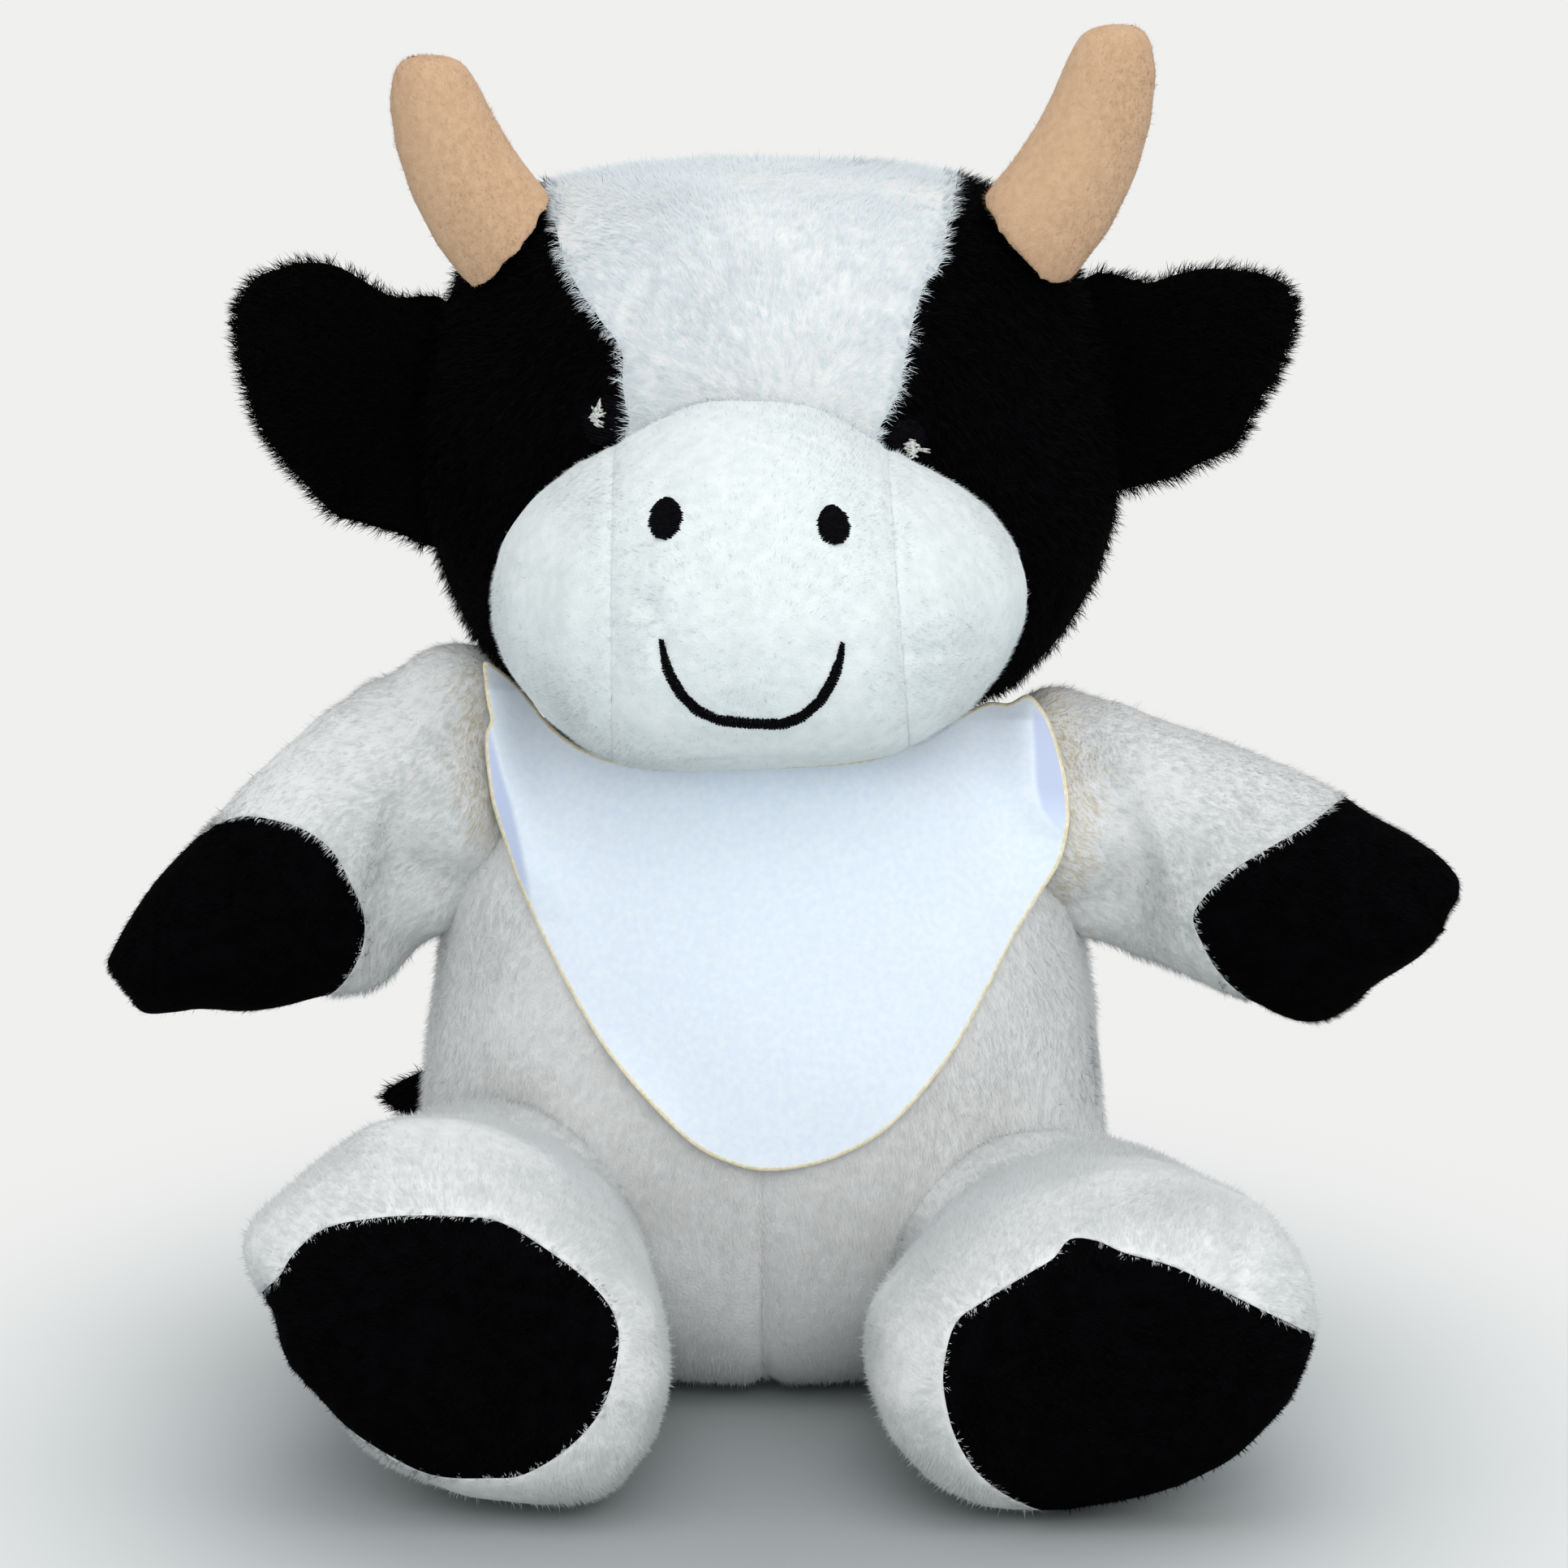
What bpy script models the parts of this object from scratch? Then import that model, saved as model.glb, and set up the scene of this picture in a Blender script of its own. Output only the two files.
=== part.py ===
"""A plush cow that sits on the floor: plush panels over stuffing, a sewn muzzle, horns, ears,
arms, legs, a tail and a bandana. Metres, +Z up, and the cow faces -Y. Its left and right are
those of the picture: left is -X. The origin is on the floor, in the middle of the seat panel."""

import math
from collections import namedtuple

import bmesh
import bpy
from mathutils import Matrix, Vector
from mathutils.bvhtree import BVHTree

# Cloth, seams and clearances
plush_thickness = 0.003
seam_gap = 0.0003
joint_gap = 0.0006
reach_past = 0.030

# Torso: a barrel that is widest at the hips
torso_height = 0.120
torso_half_width = 0.0585
torso_front = 0.0480
torso_back = 0.0440
side_seam_back = -0.006
seat_sink = 0.0008
seat_panel_half_width = 0.034
seat_panel_half_depth = 0.026
pellet_bag_top = 0.017

# Neck: a ball of stuffing in the seam between the torso and the head
neck_radius = 0.024
neck_below_top = 0.0100
neck_height = torso_height - neck_below_top
nod_limit_deg = 6

# Head
head_sink = 0.0005
head_base = neck_height - head_sink
head_height = 0.0925
head_half_width = 0.0580
head_front = 0.0470
head_back = 0.0460
blaze_waist_half_width = 0.0215
blaze_top_half_width = 0.0335
blaze_end_rise = 0.0405
blaze_waist_rise = 0.0585
blaze_top_rise = 0.0855

# Muzzle: three short-pile panels over stuffing
muzzle_lift = 0.0045
muzzle_base = head_base + muzzle_lift
muzzle_height = 0.0575
muzzle_half_width = 0.0430
muzzle_root_back = -0.034
muzzle_reach = 0.0550
muzzle_root_depth = 0.0080
muzzle_seam_half_width = 0.0215

# Embroidery on the face
face_centre = -0.0020
nostril_half_width = 0.0031
nostril_half_height = 0.0035
nostril_rise = 0.0016
nostril_half_spacing = 0.0133
nostril_lift = 0.0420
smile_half_width = 0.0146
smile_lift = 0.0255
smile_depth = 0.0140
smile_thread_radius = 0.0009
eye_half_width = 0.0044
eye_half_height = 0.0050
eye_rise = 0.0018
eye_left_side = 0.0253
eye_right_side = 0.0230
eye_left_below_muzzle_top = 0.0041
eye_right_below_muzzle_top = 0.0072
spark_half_width = 0.0014
spark_rise = 0.0005

# Horns: stuffed felt, bent upwards
horn_left_length = 0.0454
horn_right_length = 0.0490
horn_root_radius = 0.0112
horn_bend_radius = 0.048
horn_lean_deg = 36
horn_root_front = -0.015
horn_left_root_side = 0.0348
horn_right_root_side = 0.0379
horn_left_root_rise = 0.0758
horn_right_root_rise = 0.0773

# Ears: flat, lightly stuffed leaves that fold about their root seams
ear_length = 0.0400
ear_half_height = 0.0205
ear_half_depth = 0.0052
ear_root_side = 0.0480
ear_left_root_rise = 0.0505
ear_right_root_rise = 0.0535
ear_root_back = 0.004
ear_lean_deg = 11
ear_fold_limit_deg = 25
ear_fold_room_deg = 7

# Arms: stuffed sleeves that swing about the side seams, each with a cloven hoof
arm_length = 0.0770
arm_half_width = 0.0200
arm_half_depth = 0.0165
arm_root_side = 0.0410
arm_left_below_top = 0.0165
arm_right_below_top = 0.0215
arm_left_out = 0.0660
arm_right_out = 0.0710
arm_left_hang = 0.0345
arm_right_hang = 0.0270
arm_tip_front = -0.012
arm_seam_room = 0.0004
arm_seam_below_top = 0.0270
arm_seam_lean_deg = 16
arm_forward_deg = 35
arm_back_deg = 20
arm_back_room_deg = 6
hoof_cleft = 0.0060
hoof_right_slant = 0.0065

# Legs: fat tubes that lie on the floor and lift about the hip seams, each with a sole pad
leg_length = 0.0860
leg_left_half_width = 0.0355
leg_right_half_width = 0.0370
leg_left_half_height = 0.0280
leg_right_half_height = 0.0248
leg_left_roll_deg = 28
leg_right_roll_deg = 22
leg_root_front = -0.0240
leg_tip_front = -0.110
leg_left_height = 0.0275
leg_right_height = 0.0245
leg_left_root_side = 0.0450
leg_left_tip_side = 0.0480
leg_right_root_side = 0.0480
leg_right_tip_side = 0.0525
hip_seam_front = -0.0400
hip_seam_height = 0.0450
leg_lift_deg = 25
sole_depth = 0.0180

# Tail: a plush cord and a tuft, sewn in the back seam
tail_cord_length = 0.044
tail_cord_radius = 0.0034
tail_tuft_length = 0.024
tail_tuft_radius = 0.0070
tail_root_height = 0.028
tail_seat_share = 0.85
tail_direction = Vector((-1, 0.02, 0.055))

# Bandana: a cloth triangle that hangs from a rolled band, tied at the back
cloth_thickness = 0.0012
flap_ease = 0.0016
flap_drop = 0.0545
flap_below_neck = 0.0115
flap_half_width = 0.0400
band_low_below_neck = 0.0068
band_high_below_neck = 0.0030
band_thickness = 0.0022
knot_half_width = 0.0075
knot_half_depth = 0.0048
knot_half_height = 0.0055
knot_end_length = 0.024
knot_end_half_width = 0.0062
knot_end_half_depth = 0.0016
knot_end_out_share = 0.7
knot_end_back_share = 0.25

# Detail of the meshes
around = 10
around_limb = 8
around_small = 6
ball_steps = 16
outline_steps = 24
flap_columns = 10

# Each row of a form is one ring of its cage, from the base or root to the far end, as shares:
# place along it, half width, front, back, and the ring's shift to the side.
torso_shares = (
    (0.000, 0.00, 0.00, 0.00, 0.0),
    (-0.003, 0.72, 0.72, 0.72, 0.0),
    (0.110, 1.00, 0.98, 0.98, 0.0),
    (0.330, 1.04, 1.04, 1.04, 0.0),
    (0.600, 0.96, 0.98, 0.98, 0.0),
    (0.800, 0.90, 0.86, 0.88, 0.0),
    (0.940, 0.70, 0.66, 0.68, 0.0),
    (1.000, 0.00, 0.00, 0.00, 0.0),
)
head_shares = (
    (0.000, 0.00, 0.00, 0.00, 0.00),
    (-0.010, 0.62, 0.56, 0.56, 0.00),
    (0.140, 0.90, 0.90, 0.90, 0.02),
    (0.390, 1.06, 1.05, 1.05, 0.03),
    (0.650, 1.00, 1.05, 1.04, 0.02),
    (0.880, 0.90, 0.90, 0.92, 0.01),
    (1.010, 0.66, 0.62, 0.62, 0.00),
    (1.010, 0.00, 0.00, 0.00, 0.00),
)
muzzle_shares = (
    (0.000, 0.00, 0.00, 0.00, 0.0),
    (0.000, 0.68, 0.74, 1.00, 0.0),
    (0.190, 1.06, 0.98, 1.00, 0.0),
    (0.460, 1.10, 1.04, 1.00, 0.0),
    (0.700, 0.88, 0.92, 1.00, 0.0),
    (0.900, 0.52, 0.66, 1.00, -0.02),
    (1.020, 0.32, 0.36, 1.00, 0.0),
    (1.020, 0.00, 0.00, 0.00, 0.0),
)
horn_shares = (
    (0.00, 0.00, 0.00, 0.00, 0.0),
    (0.00, 1.02, 0.92, 0.92, 0.0),
    (0.35, 0.98, 0.88, 0.88, 0.0),
    (0.70, 0.84, 0.76, 0.76, 0.0),
    (0.96, 0.66, 0.60, 0.60, 0.0),
    (1.00, 0.00, 0.00, 0.00, 0.0),
)
ear_left_shares = (
    (0.00, 0.00, 0.00, 0.00, 0.00),
    (0.00, 0.98, 0.70, 0.70, 0.00),
    (0.40, 1.10, 1.00, 1.00, 0.06),
    (0.74, 1.08, 1.10, 1.10, 0.24),
    (0.98, 0.80, 0.90, 0.90, 0.46),
    (1.00, 0.00, 0.00, 0.00, 0.52),
)
ear_right_shares = (
    (0.00, 0.00, 0.00, 0.00, 0.14),
    (0.00, 0.90, 0.70, 0.70, 0.14),
    (0.40, 0.94, 1.00, 1.00, 0.16),
    (0.74, 0.92, 1.10, 1.10, 0.24),
    (0.98, 0.70, 0.90, 0.90, 0.48),
    (1.04, 0.00, 0.00, 0.00, 0.60),
)
arm_left_shares = (
    (0.00, 0.00, 0.00, 0.00, 0.00),
    (0.00, 1.10, 0.90, 0.90, 0.04),
    (0.30, 1.12, 1.06, 1.06, 0.03),
    (0.60, 1.11, 1.12, 1.12, -0.08),
    (0.84, 0.60, 0.80, 0.80, -0.13),
    (1.03, 0.32, 0.46, 0.46, -0.15),
    (1.03, 0.00, 0.00, 0.00, -0.15),
)
arm_right_shares = (
    (0.00, 0.00, 0.00, 0.00, 0.00),
    (0.00, 1.06, 0.90, 0.90, 0.05),
    (0.30, 1.08, 1.06, 1.06, 0.09),
    (0.60, 1.06, 1.12, 1.12, 0.08),
    (0.84, 0.95, 0.98, 0.98, -0.06),
    (1.04, 0.50, 0.52, 0.52, 0.22),
    (1.04, 0.00, 0.00, 0.00, 0.22),
)
leg_shares = (
    (0.00, 0.00, 0.00, 0.00, 0.0),
    (0.00, 0.66, 0.76, 0.78, 0.0),
    (0.30, 0.84, 0.92, 0.94, 0.0),
    (0.60, 0.98, 1.00, 1.04, 0.0),
    (0.86, 1.08, 1.04, 1.06, 0.0),
    (1.01, 0.84, 0.78, 0.82, 0.0),
    (1.01, 0.00, 0.00, 0.00, 0.0),
)
cord_shares = (
    (0.00, 0.00, 0.00, 0.00, 0.0),
    (0.00, 0.95, 0.95, 0.95, 0.0),
    (0.50, 1.05, 1.05, 1.05, 0.0),
    (1.00, 0.95, 0.95, 0.95, 0.0),
    (1.00, 0.00, 0.00, 0.00, 0.0),
)
tuft_shares = (
    (0.00, 0.00, 0.00, 0.00, 0.0),
    (0.00, 0.60, 0.60, 0.60, 0.0),
    (0.35, 1.20, 1.20, 1.20, 0.0),
    (0.70, 0.90, 0.90, 0.90, 0.0),
    (1.00, 0.20, 0.20, 0.20, 0.0),
    (1.00, 0.00, 0.00, 0.00, 0.0),
)
knot_end_shares = (
    (0.00, 0.00, 0.00, 0.00, 0.0),
    (0.00, 0.45, 1.00, 1.00, 0.0),
    (0.50, 1.05, 1.00, 1.00, 0.0),
    (0.95, 0.70, 1.00, 1.00, 0.0),
    (1.00, 0.00, 0.00, 0.00, 0.0),
)
pad_shares = (
    (-1.00, 0.00, 0.00, 0.00, 0.0),
    (-0.60, 0.86, 0.86, 0.86, 0.0),
    (0.00, 1.12, 1.12, 1.12, 0.0),
    (0.60, 0.86, 0.86, 0.86, 0.0),
    (1.00, 0.00, 0.00, 0.00, 0.0),
)
# Rows of the bandana's flap from its tip up: height, left edge and right edge
flap_row_shares = (
    (0.000, -0.12, 0.14),
    (0.035, -0.27, 0.30),
    (0.110, -0.40, 0.46),
    (0.230, -0.55, 0.62),
    (0.380, -0.72, 0.80),
    (0.550, -0.88, 0.95),
    (0.720, -0.98, 1.04),
    (0.870, -1.00, 1.04),
    (1.000, -0.88, 0.92),
)
# Outlines of the sole pads round the middle of the leg's end, as shares of the leg's half sizes
sole_left_shares = (
    (-0.79, 0.28), (-0.76, 0.52), (-0.56, 0.74), (-0.27, 0.81), (0.02, 0.81), (0.23, 0.76),
    (0.43, 0.60), (0.62, 0.40), (0.71, 0.20), (0.71, -0.02), (0.64, -0.30), (0.50, -0.52),
    (0.31, -0.67), (0.14, -0.70), (-0.10, -0.62), (-0.28, -0.48), (-0.46, -0.30), (-0.66, -0.08),
)
sole_right_shares = (
    (-0.29, 0.80), (-0.11, 0.92), (0.03, 0.92), (0.32, 0.75), (0.54, 0.58), (0.74, 0.43),
    (0.86, 0.28), (0.89, 0.16), (0.86, 0.00), (0.74, -0.27), (0.58, -0.49), (0.35, -0.69),
    (0.07, -0.85), (-0.12, -0.89), (-0.30, -0.85), (-0.48, -0.68), (-0.60, -0.42), (-0.64, -0.10),
    (-0.60, 0.36), (-0.42, 0.62),
)
# The seam between a sleeve and its hoof: how far back from the hoof's tip, and sideways
hoof_left_seam_shares = (
    (-0.10, 1.90), (0.22, 1.10), (0.33, 0.82), (0.44, 0.64), (0.53, 0.38), (0.57, 0.10),
    (0.57, -0.24), (0.56, -0.54), (0.51, -0.80), (0.44, -0.97), (0.35, -1.15), (-0.10, -1.90),
)
hoof_right_seam_shares = (
    (-0.10, 1.90), (0.22, 1.20), (0.32, 0.91), (0.38, 0.63), (0.44, 0.35), (0.49, 0.10),
    (0.53, -0.20), (0.54, -0.42), (0.49, -0.60), (0.38, -0.87), (0.29, -1.00), (-0.10, -1.90),
)

Ring = namedtuple("Ring", "along side width front back")
Form = namedtuple("Form", "skin inside core near")
Colour = namedtuple("Colour", "red green blue roughness")

white_plush = Colour(0.86, 0.87, 0.88, 0.95)
black_plush = Colour(0.010, 0.010, 0.011, 0.90)
muzzle_plush = Colour(0.80, 0.82, 0.82, 0.92)
horn_felt = Colour(0.80, 0.56, 0.40, 0.95)
bandana_cloth = Colour(0.78, 0.83, 0.95, 0.60)
black_thread = Colour(0.012, 0.012, 0.018, 0.45)
white_thread = Colour(0.80, 0.82, 0.80, 0.40)
seat_cloth = Colour(0.82, 0.83, 0.84, 0.90)
pellet_cloth = Colour(0.74, 0.73, 0.70, 0.90)
stuffing = Colour(0.90, 0.90, 0.88, 1.00)


def clear_scene():
    for old in list(bpy.data.objects):
        bpy.data.objects.remove(old)


def new_collection(name):
    made = bpy.data.collections.new(name)
    bpy.context.scene.collection.children.link(made)
    return made


clear_scene()
parts = new_collection("plush_cow")
cutters = new_collection("cutters")


def material(colour_name):
    """The material of that name, made from the colour of the same name when first asked for."""
    made = bpy.data.materials.get(colour_name)
    if made:
        return made
    colour = colours[colour_name]
    made = bpy.data.materials.new(colour_name)
    made.use_nodes = True
    shader = made.node_tree.nodes["Principled BSDF"]
    shader.inputs["Base Color"].default_value = (colour.red, colour.green, colour.blue, 1)
    shader.inputs["Roughness"].default_value = colour.roughness
    shader.inputs["Metallic"].default_value = 0
    return made


colours = {
    "white_plush": white_plush,
    "black_plush": black_plush,
    "muzzle_plush": muzzle_plush,
    "horn_felt": horn_felt,
    "bandana_cloth": bandana_cloth,
    "black_thread": black_thread,
    "white_thread": white_thread,
    "seat_cloth": seat_cloth,
    "pellet_cloth": pellet_cloth,
    "stuffing": stuffing,
}


def add_object(name, data, collection):
    made = bpy.data.objects.new(name, data)
    collection.objects.link(made)
    if collection == cutters:
        made.hide_render = True
        made.display_type = "WIRE"
    return made


def as_seen(obj):
    """The mesh of an object with its modifiers applied, in its own coordinates."""
    graph = bpy.context.evaluated_depsgraph_get()
    graph.update()
    return bpy.data.meshes.new_from_object(obj.evaluated_get(graph))


def rings_from(shares, length, width, front, back):
    """A table of shares as rings in metres."""
    return [
        Ring(along * length, side * width, wide * width, fore * front, aft * back)
        for along, wide, fore, aft, side in shares
    ]


def offset_rings(rings, distance):
    """The same form grown by a distance along its surface, or shrunk by a negative one."""
    grown = [rings[0]._replace(along=rings[0].along - distance)]
    for before, ring, after in zip(rings, rings[1:], rings[2:]):
        slope = Vector((after.along - before.along, after.width - before.width)).normalized()
        out = distance * slope.x
        grown.append(
            ring._replace(
                along=ring.along - distance * slope.y,
                width=ring.width + out,
                front=ring.front + out,
                back=ring.back + out,
            )
        )
    grown.append(rings[-1]._replace(along=rings[-1].along + distance))
    return grown


def cage_point(ring, turn, cleft, slant, bend_radius):
    """A point of a ring. Its middle is drawn in by the cleft and its low side by the slant, and
    the form may bend to its side."""
    side = ring.side + ring.width * math.cos(turn)
    depth = (ring.back if math.sin(turn) > 0 else ring.front) * math.sin(turn)
    along = ring.along - cleft * (1 - abs(math.cos(turn))) - slant * (1 - math.cos(turn)) / 2
    if bend_radius:
        angle = along / bend_radius
        reach = bend_radius - side
        return Vector((bend_radius - reach * math.cos(angle), depth, reach * math.sin(angle)))
    return Vector((side, depth, along))


def stuffed_form(name, rings, placing, sides=around_limb, cleft=0.0, slant=0.0, bend_radius=0.0):
    """A soft form: a coarse cage of rings, made from a sphere, rounded by subdivision."""
    mesh = bpy.data.meshes.new(name)
    cage = bmesh.new()
    last = len(rings) - 1
    bmesh.ops.create_uvsphere(cage, u_segments=sides, v_segments=last, radius=1)
    fuller = 3 / (2 + math.cos(2 * math.pi / sides))
    for vertex in cage.verts:
        level = last - round(math.acos(max(-1, min(1, vertex.co.z))) / math.pi * last)
        ring = rings[level]
        notch, tilt = (cleft, slant) if level >= last - 1 else (0, 0)
        ring = ring._replace(
            width=ring.width * fuller, front=ring.front * fuller, back=ring.back * fuller
        )
        turn = math.atan2(vertex.co.y, vertex.co.x)
        if level == last:
            turn = math.pi / 2
        vertex.co = cage_point(ring, turn, notch, tilt, bend_radius)
    cage.to_mesh(mesh)
    cage.free()
    rounded = add_object(name, mesh, cutters)
    smooth = rounded.modifiers.new("stuffed", "SUBSURF")
    smooth.levels = smooth.render_levels = 1
    baked = as_seen(rounded)
    flat_faced = bmesh.new()
    flat_faced.from_mesh(baked)
    bmesh.ops.triangulate(flat_faced, faces=flat_faced.faces)
    flat_faced.to_mesh(baked)
    flat_faced.free()
    rounded.modifiers.clear()
    rounded.data = baked
    baked.transform(placing)
    bpy.data.meshes.remove(mesh)
    return rounded


def stuffed_set(name, rings, placing, sides=around_limb, near=seam_gap, cleft=0.0, slant=0.0):
    """A form's skin, the inside of that skin, the stuffing in it, and the space that others keep."""
    made = [
        stuffed_form(f"{name}_{part}", offset_rings(rings, grow), placing, sides, cleft, slant)
        for part, grow in (
            ("skin", 0),
            ("inside", -plush_thickness),
            ("core", -plush_thickness - seam_gap),
            ("near", near),
        )
    ]
    return Form(*made)


def placed_along(root, length_axis, side_hint):
    """Places a form whose length runs from root along an axis, with its width along the hint."""
    length_axis = length_axis.normalized()
    depth_axis = length_axis.cross(side_hint).normalized()
    side_axis = depth_axis.cross(length_axis)
    turned = Matrix((side_axis, depth_axis, length_axis)).transposed().to_4x4()
    return Matrix.Translation(root) @ turned


def surface_point(form, start, direction):
    """Where a ray from start meets a form, and the surface normal there."""
    tree = BVHTree.FromPolygons(
        [v.co for v in form.data.vertices], [p.vertices for p in form.data.polygons]
    )
    place, normal, _, _ = tree.ray_cast(start, direction)
    return place, normal


def piece_from(form, name, colour_name):
    """A part that starts as a copy of a form's mesh."""
    made = add_object(name, form.data.copy(), parts)
    made.data.materials.clear()
    made.data.materials.append(material(colour_name))
    made.data.shade_smooth()
    return made


def combine(piece, operation, others):
    for other in others:
        step = piece.modifiers.new(other.name, "BOOLEAN")
        step.operation = operation
        step.solver = "EXACT"
        step.object = other


def cut(piece, *others):
    combine(piece, "DIFFERENCE", others)


def keep_inside(piece, *others):
    combine(piece, "INTERSECT", others)


def cutter_from(name, shape):
    mesh = bpy.data.meshes.new(name)
    shape.to_mesh(mesh)
    shape.free()
    return add_object(name, mesh, cutters)


def box_cutter(name, low, high):
    block = bmesh.new()
    bmesh.ops.create_cube(block, size=1)
    bmesh.ops.scale(block, vec=high - low, verts=block.verts)
    bmesh.ops.translate(block, vec=(low + high) / 2, verts=block.verts)
    return cutter_from(name, block)


def ball_cutter(name, centre, radius):
    ball = bmesh.new()
    bmesh.ops.create_uvsphere(ball, u_segments=ball_steps, v_segments=ball_steps // 2, radius=radius)
    bmesh.ops.translate(ball, vec=centre, verts=ball.verts)
    return cutter_from(name, ball)


def cone_cutter(name, bottom, low_radius, high_radius, height):
    """A cone or cylinder that stands on the point bottom."""
    cone = bmesh.new()
    bmesh.ops.create_cone(
        cone,
        cap_ends=True,
        segments=outline_steps,
        radius1=low_radius,
        radius2=high_radius,
        depth=height,
    )
    bmesh.ops.translate(cone, vec=bottom + Vector((0, 0, height / 2)), verts=cone.verts)
    return cutter_from(name, cone)


def prism_cutter(name, outline, low, high, placing):
    """A flat outline that runs from low to high along the third axis of its placing."""
    curve = bpy.data.curves.new(name, "CURVE")
    curve.dimensions = "2D"
    curve.fill_mode = "BOTH"
    curve.extrude = (high - low) / 2
    line = curve.splines.new("POLY")
    line.points.add(len(outline) - 1)
    for point, (across, up) in zip(line.points, outline):
        point.co = (across, up, 0, 1)
    line.use_cyclic_u = True
    drawn = add_object(name + "_outline", curve, cutters)
    mesh = as_seen(drawn)
    bpy.data.objects.remove(drawn)
    welded = bmesh.new()
    welded.from_mesh(mesh)
    bmesh.ops.remove_doubles(welded, verts=welded.verts, dist=seam_gap / 10)
    bmesh.ops.recalc_face_normals(welded, faces=welded.faces)
    welded.to_mesh(mesh)
    welded.free()
    mesh.transform(placing @ Matrix.Translation((0, 0, (low + high) / 2)))
    if placing.determinant() < 0:
        mesh.flip_normals()
    return add_object(name, mesh, cutters)


def seen_from_front():
    """A flat outline stands in the X-Z plane, and its third axis runs back, along +Y."""
    return Matrix(((1, 0, 0, 0), (0, 0, 1, 0), (0, 1, 0, 0), (0, 0, 0, 1)))


def wedge_cutter(name, pivot, hinge_axis, outward, front_half_deg, back_half_deg):
    """The space a limb may fill: two planes that meet on its hinge line and open outwards."""
    hinge_axis = hinge_axis.normalized()
    across = Vector((0, 1, 0))
    outward = across.cross(hinge_axis) * (1 if across.cross(hinge_axis).dot(outward) > 0 else -1)
    front = math.radians(front_half_deg)
    back = math.radians(back_half_deg)
    outline = [
        (0, 0),
        (far * math.cos(front), -far * math.sin(front)),
        (far, 0),
        (far * math.cos(back), far * math.sin(back)),
    ]
    placing = Matrix((outward, across, hinge_axis)).transposed().to_4x4()
    return prism_cutter(name, outline, -far, far, Matrix.Translation(pivot) @ placing)


def joint(name, pivot, *pieces):
    """An empty on a joint's axis that carries the pieces which move with it."""
    empty = bpy.data.objects.new(name, None)
    parts.objects.link(empty)
    empty.location = pivot
    bpy.context.view_layer.update()
    for piece in pieces:
        piece.parent = empty
        piece.matrix_parent_inverse = empty.matrix_world.inverted()
    return empty


far = torso_half_width + torso_height + reach_past
half_seam = seam_gap / 2
below_floor = box_cutter("below_floor", Vector((-far, -far, -far)), Vector((far, far, 0)))

# Torso: two front panels, two back panels and a seat panel, over a pellet bag and stuffing

torso_rings = rings_from(torso_shares, torso_height, torso_half_width, torso_front, torso_back)
torso_place = Matrix.Translation((0, 0, -seat_sink))
torso = stuffed_set("torso", torso_rings, torso_place, around)
neck_point = Vector((0, 0, neck_height))
neck_socket = ball_cutter("neck_socket", neck_point, neck_radius + joint_gap)
above_torso = box_cutter(
    "above_torso", Vector((-far, -far, neck_height - seam_gap)), Vector((far, far, far))
)


def seat_cylinder(name, ease):
    made = cone_cutter(name, Vector((0, 0, -far)), 1, 1, far * 2)
    size = (seat_panel_half_width + ease, seat_panel_half_depth + ease, 1)
    made.data.transform(Matrix.Diagonal((*size, 1)))
    return made


seat_inside = seat_cylinder("seat_inside", 0)
seat_near = seat_cylinder("seat_near", seam_gap)
above_seat = box_cutter(
    "above_seat", Vector((-far, -far, plush_thickness)), Vector((far, far, far))
)


def torso_panel(name, side, end):
    """A quarter of the torso's skin: side is -1 or 1 in X, and end is -1 or 1 in Y."""
    panel = piece_from(torso.skin, name, "white_plush")
    corner = Vector((side * half_seam, side_seam_back + end * half_seam))
    outer = Vector((side * far, end * far))
    low = Vector((min(corner.x, outer.x), min(corner.y, outer.y), 0))
    high = Vector((max(corner.x, outer.x), max(corner.y, outer.y), neck_height - seam_gap))
    keep_inside(panel, box_cutter(name + "_quarter", low, high))
    cut(panel, torso.inside, seat_near)
    return panel


body_front_left = torso_panel("body_front_left", -1, -1)
body_front_right = torso_panel("body_front_right", 1, -1)
body_back_left = torso_panel("body_back_left", -1, 1)
body_back_right = torso_panel("body_back_right", 1, 1)

seat_panel = piece_from(torso.skin, "seat_panel", "seat_cloth")
keep_inside(seat_panel, seat_inside)
cut(seat_panel, below_floor, above_seat)

above_pellets = box_cutter(
    "above_pellets", Vector((-far, -far, pellet_bag_top)), Vector((far, far, far))
)
below_filling = box_cutter(
    "below_filling", Vector((-far, -far, -far)), Vector((far, far, pellet_bag_top + seam_gap))
)
below_pellets = box_cutter(
    "below_pellets", Vector((-far, -far, -far)), Vector((far, far, plush_thickness + seam_gap))
)
seat_pellet_bag = piece_from(torso.core, "seat_pellet_bag", "pellet_cloth")
cut(seat_pellet_bag, above_pellets, below_pellets)
body_stuffing = piece_from(torso.core, "body_stuffing", "stuffing")
cut(body_stuffing, below_filling, above_torso, neck_socket)

# Neck: the stuffing that fills the neck seam, on which the head turns and nods

neck_ball = ball_cutter("neck_ball", neck_point, neck_radius)
neck_stuffing = piece_from(neck_ball, "neck_stuffing", "stuffing")

# Head: a white blaze between two black side panels, over stuffing

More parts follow.
